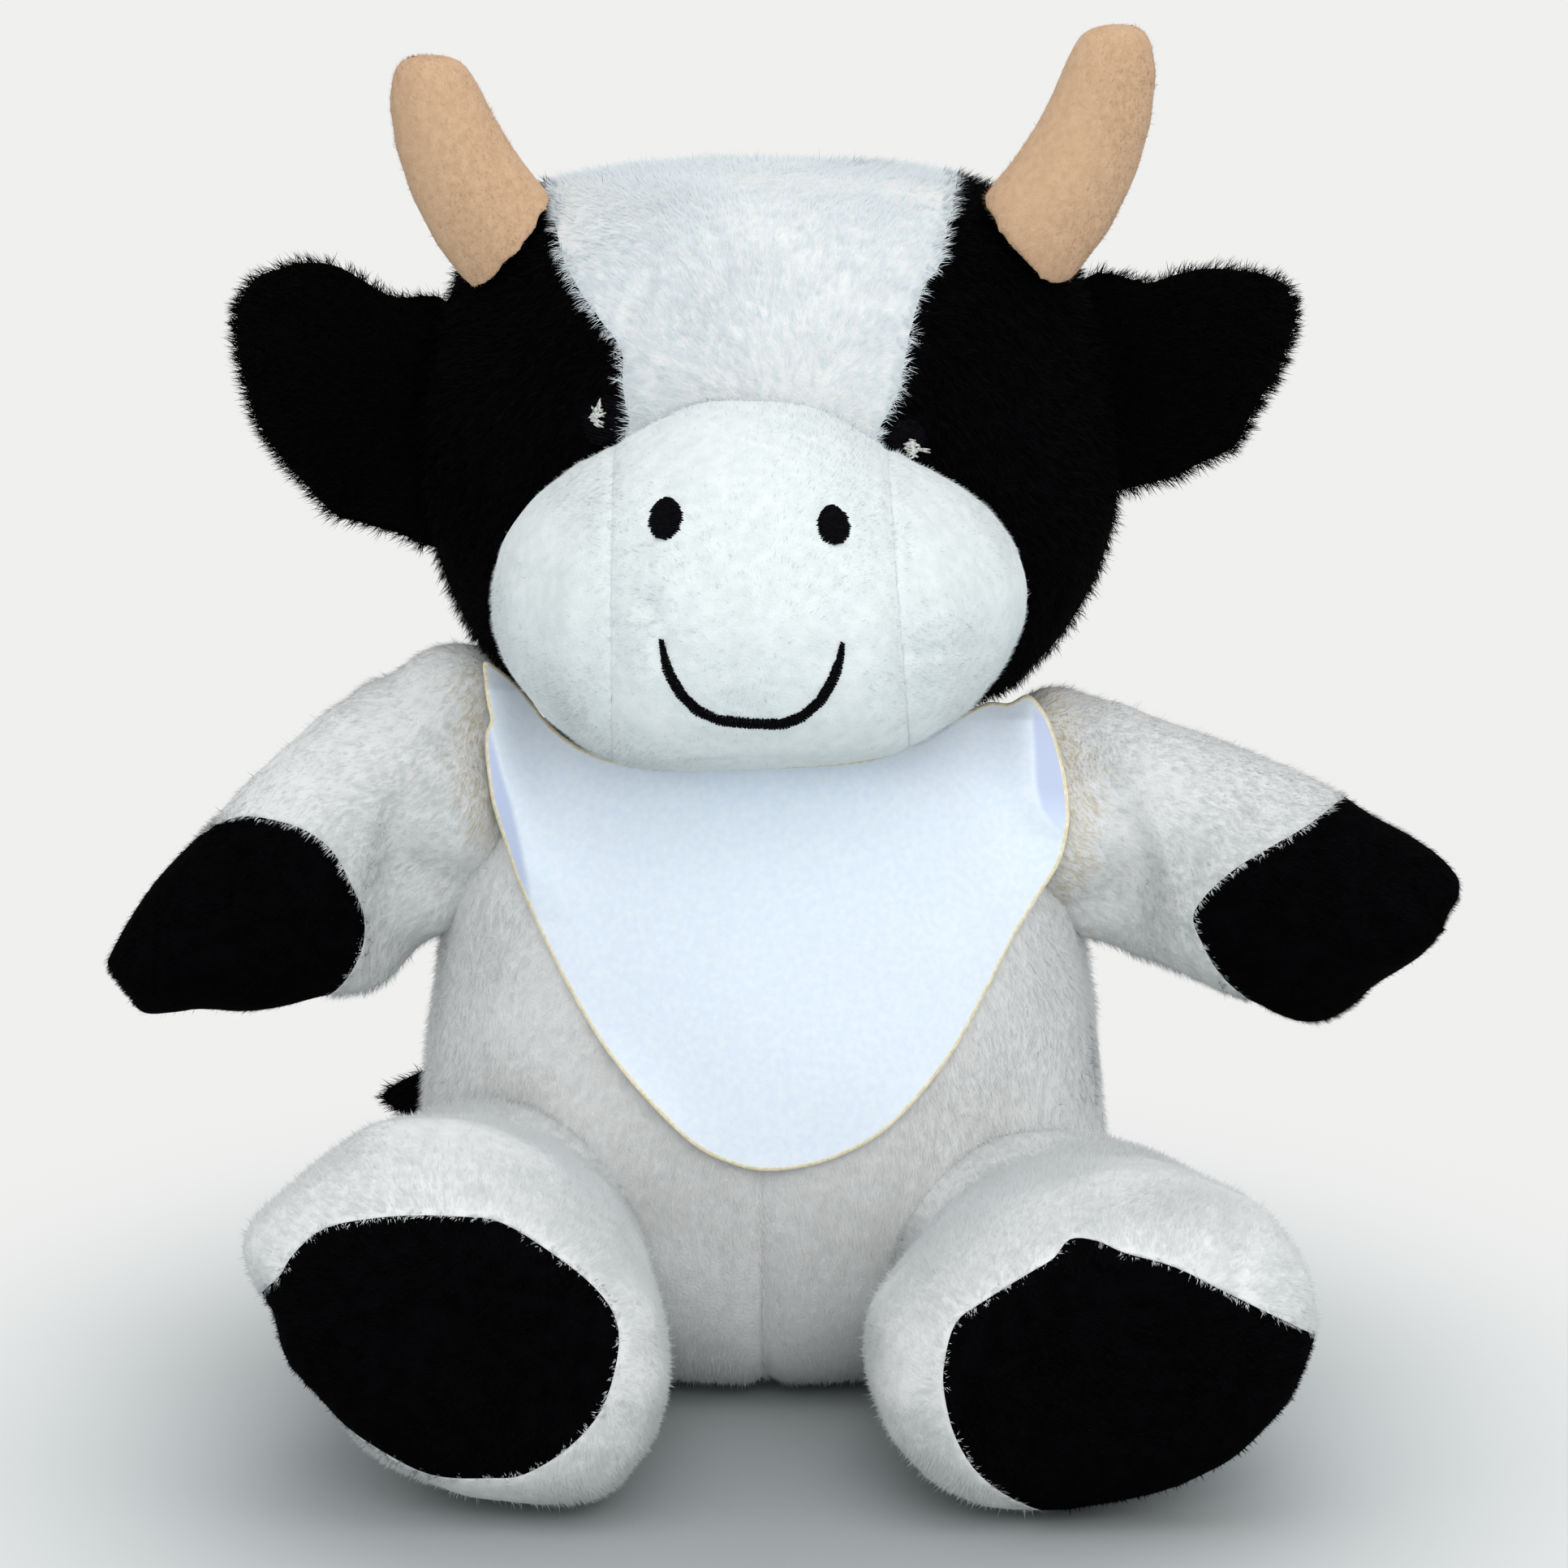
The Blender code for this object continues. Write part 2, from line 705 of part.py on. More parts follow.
head_rings = rings_from(head_shares, head_height, head_half_width, head_front, head_back)
head_place = Matrix.Translation((0, 0, head_base))
head = stuffed_set("head", head_rings, head_place, around)
head_arm_room = stuffed_form(
    "head_arm_room", offset_rings(head_rings, plush_thickness), head_place, around
)
nod_rise = far * math.tan(math.radians(nod_limit_deg))
dish = bmesh.new()
bmesh.ops.create_cone(
    dish, cap_ends=True, segments=outline_steps, radius1=far, radius2=far, depth=nod_rise * 2
)
bmesh.ops.translate(dish, vec=neck_point, verts=dish.verts)
dish_top = max(dish.faces, key=lambda face: face.calc_center_median().z)
for vertex in bmesh.ops.poke(dish, faces=[dish_top])["verts"]:
    vertex.co.z = neck_height + seam_gap
below_head = cutter_from("below_head", dish)


def blaze_cutter(name, ease):
    waist = blaze_waist_half_width + ease
    top = blaze_top_half_width + ease
    end = head_base + blaze_end_rise - ease
    narrow = head_base + blaze_waist_rise
    wide = head_base + blaze_top_rise
    outline = [
        (-waist, end),
        (waist, end),
        (waist, narrow),
        (top, wide),
        (top, far + head_base),
        (-top, far + head_base),
        (-top, wide),
        (-waist, narrow),
    ]
    return prism_cutter(name, outline, -far, far, seen_from_front())


blaze_inside = blaze_cutter("blaze_inside", 0)
blaze_near = blaze_cutter("blaze_near", seam_gap)
head_blaze = piece_from(head.skin, "head_blaze", "white_plush")
keep_inside(head_blaze, blaze_inside)
cut(head_blaze, head.inside)

head_sides = []
for name, side in (("head_side_left", -1), ("head_side_right", 1)):
    panel = piece_from(head.skin, name, "black_plush")
    half = box_cutter(
        name + "_half",
        Vector((min(side * half_seam, side * far), -far, neck_height + seam_gap)),
        Vector((max(side * half_seam, side * far), far, far + head_base)),
    )
    keep_inside(panel, half)
    cut(panel, below_head, head.inside, blaze_near, neck_socket)
    head_sides.append(panel)

head_stuffing = piece_from(head.core, "head_stuffing", "stuffing")
cut(head_stuffing, below_head, neck_socket)

# Muzzle: a short-pile centre panel between two cheeks, over its own stuffing

muzzle_rings = rings_from(
    muzzle_shares, muzzle_height, muzzle_half_width, muzzle_reach, muzzle_root_depth
)
muzzle_place = Matrix.Translation((0, muzzle_root_back, muzzle_base))
muzzle = stuffed_set("muzzle", muzzle_rings, muzzle_place)
centre_strip = box_cutter(
    "centre_strip",
    Vector((face_centre - muzzle_seam_half_width, -far, 0)),
    Vector((face_centre + muzzle_seam_half_width, far, far)),
)
muzzle_centre = piece_from(muzzle.skin, "muzzle_centre", "muzzle_plush")
keep_inside(muzzle_centre, centre_strip)
cut(muzzle_centre, muzzle.inside, head.near)
muzzle_cheeks = []
for name, side in (("muzzle_cheek_left", -1), ("muzzle_cheek_right", 1)):
    seam = face_centre + side * (muzzle_seam_half_width + seam_gap)
    cheek = piece_from(muzzle.skin, name, "muzzle_plush")
    cheek_space = box_cutter(
        name + "_space",
        Vector((min(seam, side * far), -far, 0)),
        Vector((max(seam, side * far), far, far)),
    )
    keep_inside(cheek, cheek_space)
    cut(cheek, muzzle.inside, head.near)
    muzzle_cheeks.append(cheek)
muzzle_stuffing = piece_from(muzzle.core, "muzzle_stuffing", "stuffing")
cut(muzzle_stuffing, head.near)

# Embroidery: two nostrils and a smile on the muzzle, two eyes with a light spark on the head

ahead = Vector((0, -1, 0))


def thread_pad(name, colour_name, carrier, start, half_width, rise, half_height, trim):
    """A patch of satin stitch: a flat dome that stands on its carrier, trimmed to its surface."""
    place, normal = surface_point(carrier, start, ahead)
    rings = rings_from(pad_shares, half_height, half_width, rise, rise)
    tilted = normal.to_track_quat("Y", "Z").to_matrix().to_4x4()
    standing = Matrix.Translation(place) @ tilted
    pad = piece_from(stuffed_form(name + "_pad", rings, standing, around_small), name, colour_name)
    if trim:
        cut(pad, trim)
    return pad, place, normal


nostrils = []
for name, side in (("nostril_left", -1), ("nostril_right", 1)):
    start = Vector(
        (face_centre + side * nostril_half_spacing, muzzle_root_back, muzzle_base + nostril_lift)
    )
    pad, _, _ = thread_pad(
        name,
        "black_thread",
        muzzle.skin,
        start,
        nostril_half_width,
        nostril_rise,
        nostril_half_height,
        muzzle.near,
    )
    nostrils.append(pad)

eyes = []
sparks = []
muzzle_top = muzzle_base + muzzle_height
for name, across, height in (
    ("eye_left", -eye_left_side, muzzle_top - eye_left_below_muzzle_top),
    ("eye_right", eye_right_side, muzzle_top - eye_right_below_muzzle_top),
):
    start = Vector((across, 0, height))
    pad, place, normal = thread_pad(
        name,
        "black_thread",
        head.skin,
        start,
        eye_half_width,
        eye_rise,
        eye_half_height,
        head.near,
    )
    cut(pad, muzzle.near)
    eyes.append(pad)
    spark_place = Matrix.Translation(normal * (eye_rise + seam_gap + spark_rise) + place)
    tilted = normal.to_track_quat("Y", "Z").to_matrix().to_4x4()
    rings = rings_from(pad_shares, spark_half_width, spark_half_width, spark_rise, spark_rise)
    dot = stuffed_form(name + "_spark_pad", rings, spark_place @ tilted, around_small)
    sparks.append(piece_from(dot, name + "_spark", "white_thread"))

smile_curve = bpy.data.curves.new("smile", "CURVE")
smile_curve.dimensions = "3D"
smile_curve.bevel_depth = smile_thread_radius
smile_curve.bevel_resolution = 1
smile_curve.use_fill_caps = True
smile_line = smile_curve.splines.new("POLY")
smile_line.points.add(outline_steps)
for step, point in enumerate(smile_line.points):
    share = 2 * step / outline_steps - 1
    start = Vector(
        (
            face_centre + share * smile_half_width,
            muzzle_root_back,
            muzzle_base + smile_lift - smile_depth * math.sqrt(1 - min(share * share, 1)),
        )
    )
    place, normal = surface_point(muzzle.near, start, ahead)
    place = place + normal * smile_thread_radius
    point.co = (*place, 1)
smile = add_object("smile", smile_curve, parts)
smile_curve.materials.append(material("black_thread"))

# Horns: felt tubes bent upwards, sewn in the seams between the blaze and the side panels

horns = []
horn_lean = math.radians(horn_lean_deg)
for name, side, root_side, root_rise, length in (
    ("horn_left", -1, horn_left_root_side, horn_left_root_rise, horn_left_length),
    ("horn_right", 1, horn_right_root_side, horn_right_root_rise, horn_right_length),
):
    rings = rings_from(horn_shares, length, horn_root_radius, horn_root_radius, horn_root_radius)
    way_out = Vector((side * math.cos(horn_lean), 0, math.sin(horn_lean)))
    horn_root = Vector((side * root_side, horn_root_front, head_base + root_rise))
    horn_place = placed_along(horn_root, way_out, Vector((0, 0, 1)))
    form = stuffed_form(
        name + "_form", rings, horn_place, around_small, bend_radius=horn_bend_radius
    )
    horn = piece_from(form, name, "horn_felt")
    cut(horn, head.near)
    horns.append(horn)

# Ears: a smooth front and a long-pile back, folded along the root seam at the side of the head

ears = {}
ear_lean = math.radians(ear_lean_deg)
for name, side, shares, root_height in (
    ("ear_left", -1, ear_left_shares, head_base + ear_left_root_rise),
    ("ear_right", 1, ear_right_shares, head_base + ear_right_root_rise),
):
    rings = rings_from(shares, ear_length, ear_half_height, ear_half_depth, ear_half_depth)
    root = Vector((side * ear_root_side, ear_root_back, root_height))
    ear_place = placed_along(root, Vector((side, 0, 0)), Vector((0, 0, 1)))
    form = stuffed_form(name + "_form", rings, ear_place, around)
    hinge_axis = Vector((-side * math.sin(ear_lean), 0, math.cos(ear_lean)))
    pivot, _ = surface_point(
        head.near, Vector((0, ear_root_back, root_height)), Vector((side, 0, 0))
    )
    pivot = pivot + Vector((side * joint_gap, 0, 0))
    wedge = wedge_cutter(
        name + "_wedge",
        pivot,
        hinge_axis,
        Vector((side, 0, 0)),
        90 - ear_fold_limit_deg - ear_fold_room_deg,
        90 - ear_fold_limit_deg - ear_fold_room_deg,
    )
    back_half = box_cutter(
        name + "_back_half",
        Vector((-far, ear_root_back - half_seam, 0)),
        Vector((far, far, far)),
    )
    front_half = box_cutter(
        name + "_front_half",
        Vector((-far, -far, 0)),
        Vector((far, ear_root_back + half_seam, far)),
    )
    front = piece_from(form, name + "_front", "black_plush")
    keep_inside(front, wedge)
    cut(front, back_half)
    back = piece_from(form, name + "_back", "black_plush")
    keep_inside(back, wedge)
    cut(back, front_half)
    ears[name] = (pivot, front, back)
    print(name, "hinge at", [round(value, 5) for value in pivot])

# Arms: a white sleeve and a black cloven hoof over stuffing, hinged on the side seam

arms = {}
arm_lean = math.radians(arm_seam_lean_deg)
arm_front_half_deg = 90 - arm_forward_deg
arm_back_half_deg = 90 - arm_back_deg - arm_back_room_deg
for name, side, below_top, out, hang, slant, shares, seam_shares in (
    (
        "arm_left",
        -1,
        arm_left_below_top,
        arm_left_out,
        arm_left_hang,
        0,
        arm_left_shares,
        hoof_left_seam_shares,
    ),
    (
        "arm_right",
        1,
        arm_right_below_top,
        arm_right_out,
        arm_right_hang,
        hoof_right_slant,
        arm_right_shares,
        hoof_right_seam_shares,
    ),
):
    rings = rings_from(shares, arm_length, arm_half_width, arm_half_depth, arm_half_depth)
    root = Vector((side * arm_root_side, side_seam_back, torso_height - below_top))
    way_out = Vector((side * out, arm_tip_front - side_seam_back, -hang))
    arm_place = placed_along(root, way_out, Vector((0, 0, 1)))
    arm = stuffed_set(name, rings, arm_place, cleft=hoof_cleft, slant=slant)
    hinge_axis = Vector((-side * math.sin(arm_lean), 0, math.cos(arm_lean)))
    outward = Vector((side, 0, 0))
    seam_middle = Vector((0, side_seam_back, torso_height - arm_seam_below_top))
    pivot, _ = surface_point(torso.near, seam_middle, outward)
    pivot = pivot + outward * arm_seam_room
    print(name, "hinge at", [round(value, 5) for value in pivot])
    wedge, hollow_wedge, core_wedge = (
        wedge_cutter(
            name + part, start, hinge_axis, outward, arm_front_half_deg, arm_back_half_deg
        )
        for part, start in (
            ("_wedge", pivot),
            ("_hollow_wedge", pivot + outward * plush_thickness),
            ("_core_wedge", pivot + outward * (plush_thickness + 2 * seam_gap)),
        )
    )
    trimmed = add_object(name + "_trimmed", arm.inside.data.copy(), cutters)
    keep_inside(trimmed, hollow_wedge)
    hollow = add_object(name + "_hollow", as_seen(trimmed), cutters)
    hoof_seam = [
        ((1 - back) * arm_length, across * arm_half_width) for back, across in seam_shares
    ]
    past_tip = arm_length + reach_past
    outline = [*hoof_seam, (past_tip, hoof_seam[-1][1]), (past_tip, hoof_seam[0][1])]
    gap_outline = [(along - seam_gap, across) for along, across in hoof_seam]
    gap_outline += [(past_tip, hoof_seam[-1][1]), (past_tip, hoof_seam[0][1])]
    seen_flat = arm_place @ Matrix(((0, 1, 0, 0), (0, 0, 1, 0), (1, 0, 0, 0), (0, 0, 0, 1)))
    hoof_space = prism_cutter(name + "_hoof_space", outline, -far, far, seen_flat)
    hoof_near = prism_cutter(name + "_hoof_near", gap_outline, -far, far, seen_flat)
    sleeve = piece_from(arm.skin, name + "_sleeve", "white_plush")
    keep_inside(sleeve, wedge)
    cut(sleeve, hollow, hoof_near, head_arm_room)
    hoof = piece_from(arm.skin, name + "_hoof", "black_plush")
    keep_inside(hoof, hoof_space)
    cut(hoof, arm.inside)
    filling = piece_from(arm.core, name + "_stuffing", "stuffing")
    keep_inside(filling, core_wedge)
    cut(filling, head_arm_room)
    arms[name] = (pivot, sleeve, hoof, filling)

# Legs: a white sleeve and a black sole pad over stuffing, hinged on the hip seam

legs = {}
for name, side, root_side, tip_side, height, roll_deg, half_width, half_height, sole_shares in (
    (
        "leg_left",
        -1,
        leg_left_root_side,
        leg_left_tip_side,
        leg_left_height,
        leg_left_roll_deg,
        leg_left_half_width,
        leg_left_half_height,
        sole_left_shares,
    ),
    (
        "leg_right",
        1,
        leg_right_root_side,
        leg_right_tip_side,
        leg_right_height,
        leg_right_roll_deg,
        leg_right_half_width,
        leg_right_half_height,
        sole_right_shares,
    ),
):
    rings = rings_from(leg_shares, leg_length, half_width, half_height, half_height)
    root = Vector((side * root_side, leg_root_front, height))
    tip = Vector((side * tip_side, leg_tip_front, height))
    roll = math.radians(roll_deg)
    rolled = Vector((math.cos(roll), 0, side * math.sin(roll)))
    leg_place = placed_along(root, tip - root, rolled)
    leg = stuffed_set(name, rings, leg_place)
    pivot = Vector((root.x, hip_seam_front, hip_seam_height))
    torso_turned = []
    for lift_deg in (0, leg_lift_deg / 2, leg_lift_deg):
        turned = add_object(f"{name}_torso_{round(lift_deg)}", torso.near.data.copy(), cutters)
        turned.data.transform(
            Matrix.Translation(pivot)
            @ Matrix.Rotation(math.radians(lift_deg), 4, "X")
            @ Matrix.Translation(-pivot)
        )
        torso_turned.append(turned)
    outline = [
        (tip.x + across * half_width, tip.z + up * half_height)
        for across, up in sole_shares
    ]
    middle = Vector((tip.x, tip.z))
    gap_outline = []
    for point in outline:
        spoke = Vector(point) - middle
        gap_outline.append(tuple(middle + spoke * (1 + seam_gap / spoke.length)))
    sole_back = tip.y + sole_depth
    sole_space = prism_cutter(name + "_sole_space", outline, -far, sole_back, seen_from_front())
    sole_near = prism_cutter(
        name + "_sole_near", gap_outline, -far, sole_back + seam_gap, seen_from_front()
    )
    sleeve = piece_from(leg.skin, name + "_sleeve", "white_plush")
    cut(sleeve, leg.inside, sole_near, below_floor, *torso_turned)
    sole = piece_from(leg.skin, name + "_sole", "black_plush")
    keep_inside(sole, sole_space)
    cut(sole, leg.inside, below_floor)
    filling = piece_from(leg.core, name + "_stuffing", "stuffing")
    cut(filling, *torso_turned)
    legs[name] = (pivot, sleeve, sole, filling)

# Tail: a plush cord from the back seam with a black tuft, lying to the left

tail_start, _ = surface_point(torso.skin, Vector((0, 0, tail_root_height)), Vector((0, 1, 0)))
tail_root = tail_start + Vector((0, tail_cord_radius * tail_seat_share, 0))
tail_way = tail_direction.normalized()
cord_rings = rings_from(
    cord_shares, tail_cord_length, tail_cord_radius, tail_cord_radius, tail_cord_radius
)
tail_side = Vector((0, 0, 1))
cord_form = stuffed_form(
    "tail_cord_form", cord_rings, placed_along(tail_root, tail_way, tail_side), around_small
)
tail_cord = piece_from(cord_form, "tail_cord", "white_plush")
tuft_root = tail_root + tail_way * (tail_cord_length + seam_gap)
tuft_rings = rings_from(
    tuft_shares, tail_tuft_length, tail_tuft_radius, tail_tuft_radius, tail_tuft_radius
)
tuft_form = stuffed_form(
    "tail_tuft_form", tuft_rings, placed_along(tuft_root, tail_way, tail_side), around_small
)
tail_tuft = piece_from(tuft_form, "tail_tuft", "black_plush")
print("tail hinge at", [round(value, 5) for value in tail_root])

# Bandana: a rolled band round the neck, a knot with two ends behind it, and the hanging flap

band_outside = stuffed_form(
    "band_outside", offset_rings(torso_rings, seam_gap + band_thickness), torso_place, around
)
band_near = stuffed_form(
    "band_near", offset_rings(torso_rings, seam_gap * 2 + band_thickness), torso_place, around
)
band_low = neck_height - band_low_below_neck
band_high = neck_height - band_high_below_neck
band_space = box_cutter(
    "band_space", Vector((-far, -far, band_low)), Vector((far, far, band_high))
)
bandana_band = piece_from(band_outside, "bandana_band", "bandana_cloth")
keep_inside(bandana_band, band_space)
cut(bandana_band, torso.near)

knot_height = (band_low + band_high) / 2
knot_place, _ = surface_point(band_outside, Vector((0, 0, knot_height)), Vector((0, 1, 0)))
knot_rings = rings_from(
    pad_shares, knot_half_height, knot_half_width, knot_half_depth, knot_half_depth
)
knot_form = stuffed_form(
    "knot_form",
    knot_rings,
    Matrix.Translation(knot_place + Vector((0, knot_half_depth / 2, 0))),
    around_small,
)
bandana_knot = piece_from(knot_form, "bandana_knot", "bandana_cloth")
cut(bandana_knot, band_near)
knot_near = ball_cutter("knot_near", Vector((0, 0, 0)), 1)
knot_near.data.transform(
    Matrix.Translation(knot_place + Vector((0, knot_half_depth / 2, 0)))
    @ Matrix.Diagonal((knot_half_width, knot_half_depth, knot_half_height, 1))
    @ Matrix.Scale(1 + seam_gap / knot_half_depth, 4)
)
knot_ends = []
for name, side in (("knot_end_left", -1), ("knot_end_right", 1)):
    rings = rings_from(
        knot_end_shares,
        knot_end_length,
        knot_end_half_width,
        knot_end_half_depth,
        knot_end_half_depth,
    )
    root = knot_place + Vector((side * knot_half_width / 2, knot_half_depth, 0))
    way = Vector((side * knot_end_out_share, knot_end_back_share, -1))
    form = stuffed_form(
        name + "_form", rings, placed_along(root, way, Vector((1, 0, 0))), around_small
    )
    end = piece_from(form, name, "bandana_cloth")
    cut(end, knot_near, band_near)
    knot_ends.append(end)

flap_mesh = bpy.data.meshes.new("bandana_flap")
sheet = bmesh.new()
bmesh.ops.create_grid(
    sheet, x_segments=flap_columns, y_segments=len(flap_row_shares) - 1, size=1
)
flap_top_height = neck_height - flap_below_neck
flap_surface = stuffed_form(
    "flap_surface", offset_rings(torso_rings, flap_ease + cloth_thickness / 2), torso_place, around
)
for vertex in sheet.verts:
    row = round((vertex.co.y + 1) / 2 * (len(flap_row_shares) - 1))
    column = (vertex.co.x + 1) / 2
    rise, left, right = flap_row_shares[row]
    height = flap_top_height - (1 - rise) * flap_drop
    across = (left + (right - left) * column) * flap_half_width
    vertex.co, _ = surface_point(flap_surface, Vector((across, 0, height)), ahead)
sheet.to_mesh(flap_mesh)
sheet.free()
bandana_flap = add_object("bandana_flap", flap_mesh, parts)
flap_mesh.materials.append(material("bandana_cloth"))
thicken = bandana_flap.modifiers.new("cloth", "SOLIDIFY")
thicken.thickness = cloth_thickness
thicken.offset = 0

# Joints: each empty stands on its axis

flap_hinge, _ = surface_point(torso.skin, Vector((0, 0, flap_top_height)), ahead)
flap_hinge = flap_hinge + Vector((0, -flap_ease, 0))
print("flap hinge at", [round(value, 5) for value in flap_hinge])
joint("flap_lift", flap_hinge, bandana_flap)
joint("head_turn", neck_point, neck_stuffing)
head_pieces = [head_blaze, *head_sides, head_stuffing, muzzle_centre, *muzzle_cheeks]
head_pieces += [muzzle_stuffing, *nostrils, smile, *eyes, *sparks, *horns]
joint("head_nod", neck_point, *head_pieces)
for name, (pivot, *pieces) in ears.items():
    joint(name + "_fold", pivot, *pieces)
for name, (pivot, *pieces) in arms.items():
    joint(name + "_swing", pivot, *pieces)
for name, (pivot, *pieces) in legs.items():
    joint(name + "_lift", pivot, *pieces)
joint("tail_swing", tail_root, tail_cord, tail_tuft)
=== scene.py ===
# %% [markdown]
# # A plush cow, dressed round its CAD frame
#
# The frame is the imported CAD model: plush panels over stuffing, with joints at the neck, the ears,
# the arms, the legs, the tail and the bandana's flap. This lesson covers it with what shows on the
# real toy: soft cloth with a short pile of fibres, brushed cloth on the muzzle, felt horns,
# embroidery and a smooth bandana. Lengths are in metres, +Z is up, and the cow faces -Y.

import math

import bmesh
import bpy
import numpy as np
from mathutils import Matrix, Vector
from mathutils.bvhtree import BVHTree
from mathutils.geometry import delaunay_2d_cdt
from mathutils.kdtree import KDTree


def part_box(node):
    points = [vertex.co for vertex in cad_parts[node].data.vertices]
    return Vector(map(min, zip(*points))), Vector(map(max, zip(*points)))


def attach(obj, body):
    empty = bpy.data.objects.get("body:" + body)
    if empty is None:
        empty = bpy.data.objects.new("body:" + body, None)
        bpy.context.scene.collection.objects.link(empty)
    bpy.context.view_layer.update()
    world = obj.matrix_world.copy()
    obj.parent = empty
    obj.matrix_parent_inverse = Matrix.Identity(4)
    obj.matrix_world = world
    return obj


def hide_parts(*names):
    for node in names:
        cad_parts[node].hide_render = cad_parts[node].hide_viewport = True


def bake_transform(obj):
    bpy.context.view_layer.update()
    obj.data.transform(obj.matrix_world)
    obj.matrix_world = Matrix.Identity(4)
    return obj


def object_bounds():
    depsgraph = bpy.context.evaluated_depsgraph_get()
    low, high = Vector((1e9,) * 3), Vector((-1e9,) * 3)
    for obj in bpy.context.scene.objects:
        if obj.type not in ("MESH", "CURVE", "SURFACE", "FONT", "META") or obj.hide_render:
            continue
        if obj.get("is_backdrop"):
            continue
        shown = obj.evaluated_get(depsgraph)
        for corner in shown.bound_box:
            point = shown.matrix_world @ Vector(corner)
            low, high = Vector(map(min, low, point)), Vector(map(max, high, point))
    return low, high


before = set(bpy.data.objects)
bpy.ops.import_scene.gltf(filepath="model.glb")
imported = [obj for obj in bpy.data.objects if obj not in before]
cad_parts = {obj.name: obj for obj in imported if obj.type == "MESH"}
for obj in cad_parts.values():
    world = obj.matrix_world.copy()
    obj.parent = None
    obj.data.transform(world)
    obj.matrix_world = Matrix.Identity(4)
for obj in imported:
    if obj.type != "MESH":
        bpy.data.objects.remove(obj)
bpy.ops.object.select_all(action="DESELECT")
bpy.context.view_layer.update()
mm = 0.001
scene = bpy.context.scene

# %% [markdown]
# ## Camera
#
# The photograph looks at the cow from the front and a little from above, from far enough away
# that the limbs hardly grow towards the lens. A long lens at 1.3 m gives that. The camera comes
# first, so that every later render can be laid beside the photograph, and so that a place in the
# photograph can be found on the toy: a ray from the camera through it meets the cloth there.

# %% Camera at the photograph's viewing angle
camera_distance = 1.3
camera_elevation = math.radians(12)
look_at = Vector((3.6 * mm, 0, 98.1 * mm))
seen_width = 0.26391
photo_side = 1932

camera_data = bpy.data.cameras.new("camera")
camera_data.sensor_width = 36
camera_data.lens = 36 * camera_distance / seen_width
camera_data.clip_start = 0.01
camera_data.clip_end = 100
camera = bpy.data.objects.new("camera", camera_data)
scene.collection.objects.link(camera)
camera_right = Vector((1, 0, 0))
camera_up = Vector((0, math.sin(camera_elevation), math.cos(camera_elevation)))
camera_back = Vector((0, -math.cos(camera_elevation), math.sin(camera_elevation)))
camera_place = look_at + camera_back * camera_distance
camera.location = camera_place
camera.rotation_mode = "QUATERNION"
camera.rotation_quaternion = (-camera_back).to_track_quat("-Z", "Y")
scene.camera = camera
pixel = seen_width / photo_side
print("lens in mm:", round(camera_data.lens, 1))

# %% Places in the photograph


def photo_ray(across, down):
    """The way from the camera through one place of the photograph."""
    aim = look_at + camera_right * ((across - photo_side / 2) * pixel)
    aim += camera_up * ((photo_side / 2 - down) * pixel)
    return (aim - camera_place).normalized()


def photo_places(points):
    """Where points of the toy show in the photograph: across and down."""
    away = points - np.array(camera_place)
    depth = -(away @ np.array(camera_back))
    scale = camera_distance / pixel / depth
    across = photo_side / 2 + away @ np.array(camera_right) * scale
    return np.column_stack((across, photo_side / 2 - away @ np.array(camera_up) * scale))


def on_form(tree, across, down):
    """The point and the normal of a form at one place of the photograph."""
    way = photo_ray(across, down)
    place, normal, _, _ = tree.ray_cast(camera_place, way)
    if place is None:
        guess = camera_place + way * camera_distance
        place, normal, _, _ = tree.find_nearest(guess)
    return place, normal


def line_distance(places, line):
    """The distance of flat places from an open line of points, along which it may bend."""
    nearest = np.full(len(places), np.inf)
    for start, end in zip(line[:-1], line[1:]):
        start, run = np.array(start, float), np.array(end, float) - start
        share = np.clip((places - start) @ run / max(run @ run, 1e-18), 0, 1)
        nearest = np.minimum(nearest, np.linalg.norm(places - start - share[:, None] * run, axis=1))
    return nearest


def outline_side(places, outline):
    """The distance of flat places from a closed outline, more than zero inside it."""
    inside = np.zeros(len(places), bool)
    x, z = places[:, 0], places[:, 1]
    for (ax, az), (bx, bz) in zip(outline, [*outline[1:], outline[0]]):
        run = bz - az if bz != az else 1e-12
        inside ^= ((az > z) != (bz > z)) & (x < (bx - ax) * (z - az) / run + ax)
    nearest = line_distance(places, [*outline, outline[0]])
    return np.where(inside, nearest, -nearest)


def rounded(corners, each=4):
    """A closed outline that runs smoothly through its corners, as one Catmull-Rom spline."""
    corners = np.array(corners, float)
    before, after = np.roll(corners, 1, axis=0), np.roll(corners, -1, axis=0)
    later = np.roll(corners, -2, axis=0)
    steps = []
    for share in np.arange(each) / each:
        s2, s3 = share**2, share**3
        steps.append(
            0.5
            * (
                2 * corners
                + (after - before) * share
                + (2 * before - 5 * corners + 4 * after - later) * s2
                + (3 * corners - before - 3 * after + later) * s3
            )
        )
    return [tuple(place) for place in np.stack(steps, axis=1).reshape(-1, 2)]


# %% [markdown]
# ## Cloths, threads and their colours
#
# Every finish here is cloth. The backing cloth gets a node material whose colour and bump change
# in small patches, as brushed pile does. The fibres that stand on it get plain materials in a few
# tones, because on fibres a fraction of a millimetre wide the variation is from one fibre to the
# next, and a plain material also survives the export exactly.

# %% Material helpers


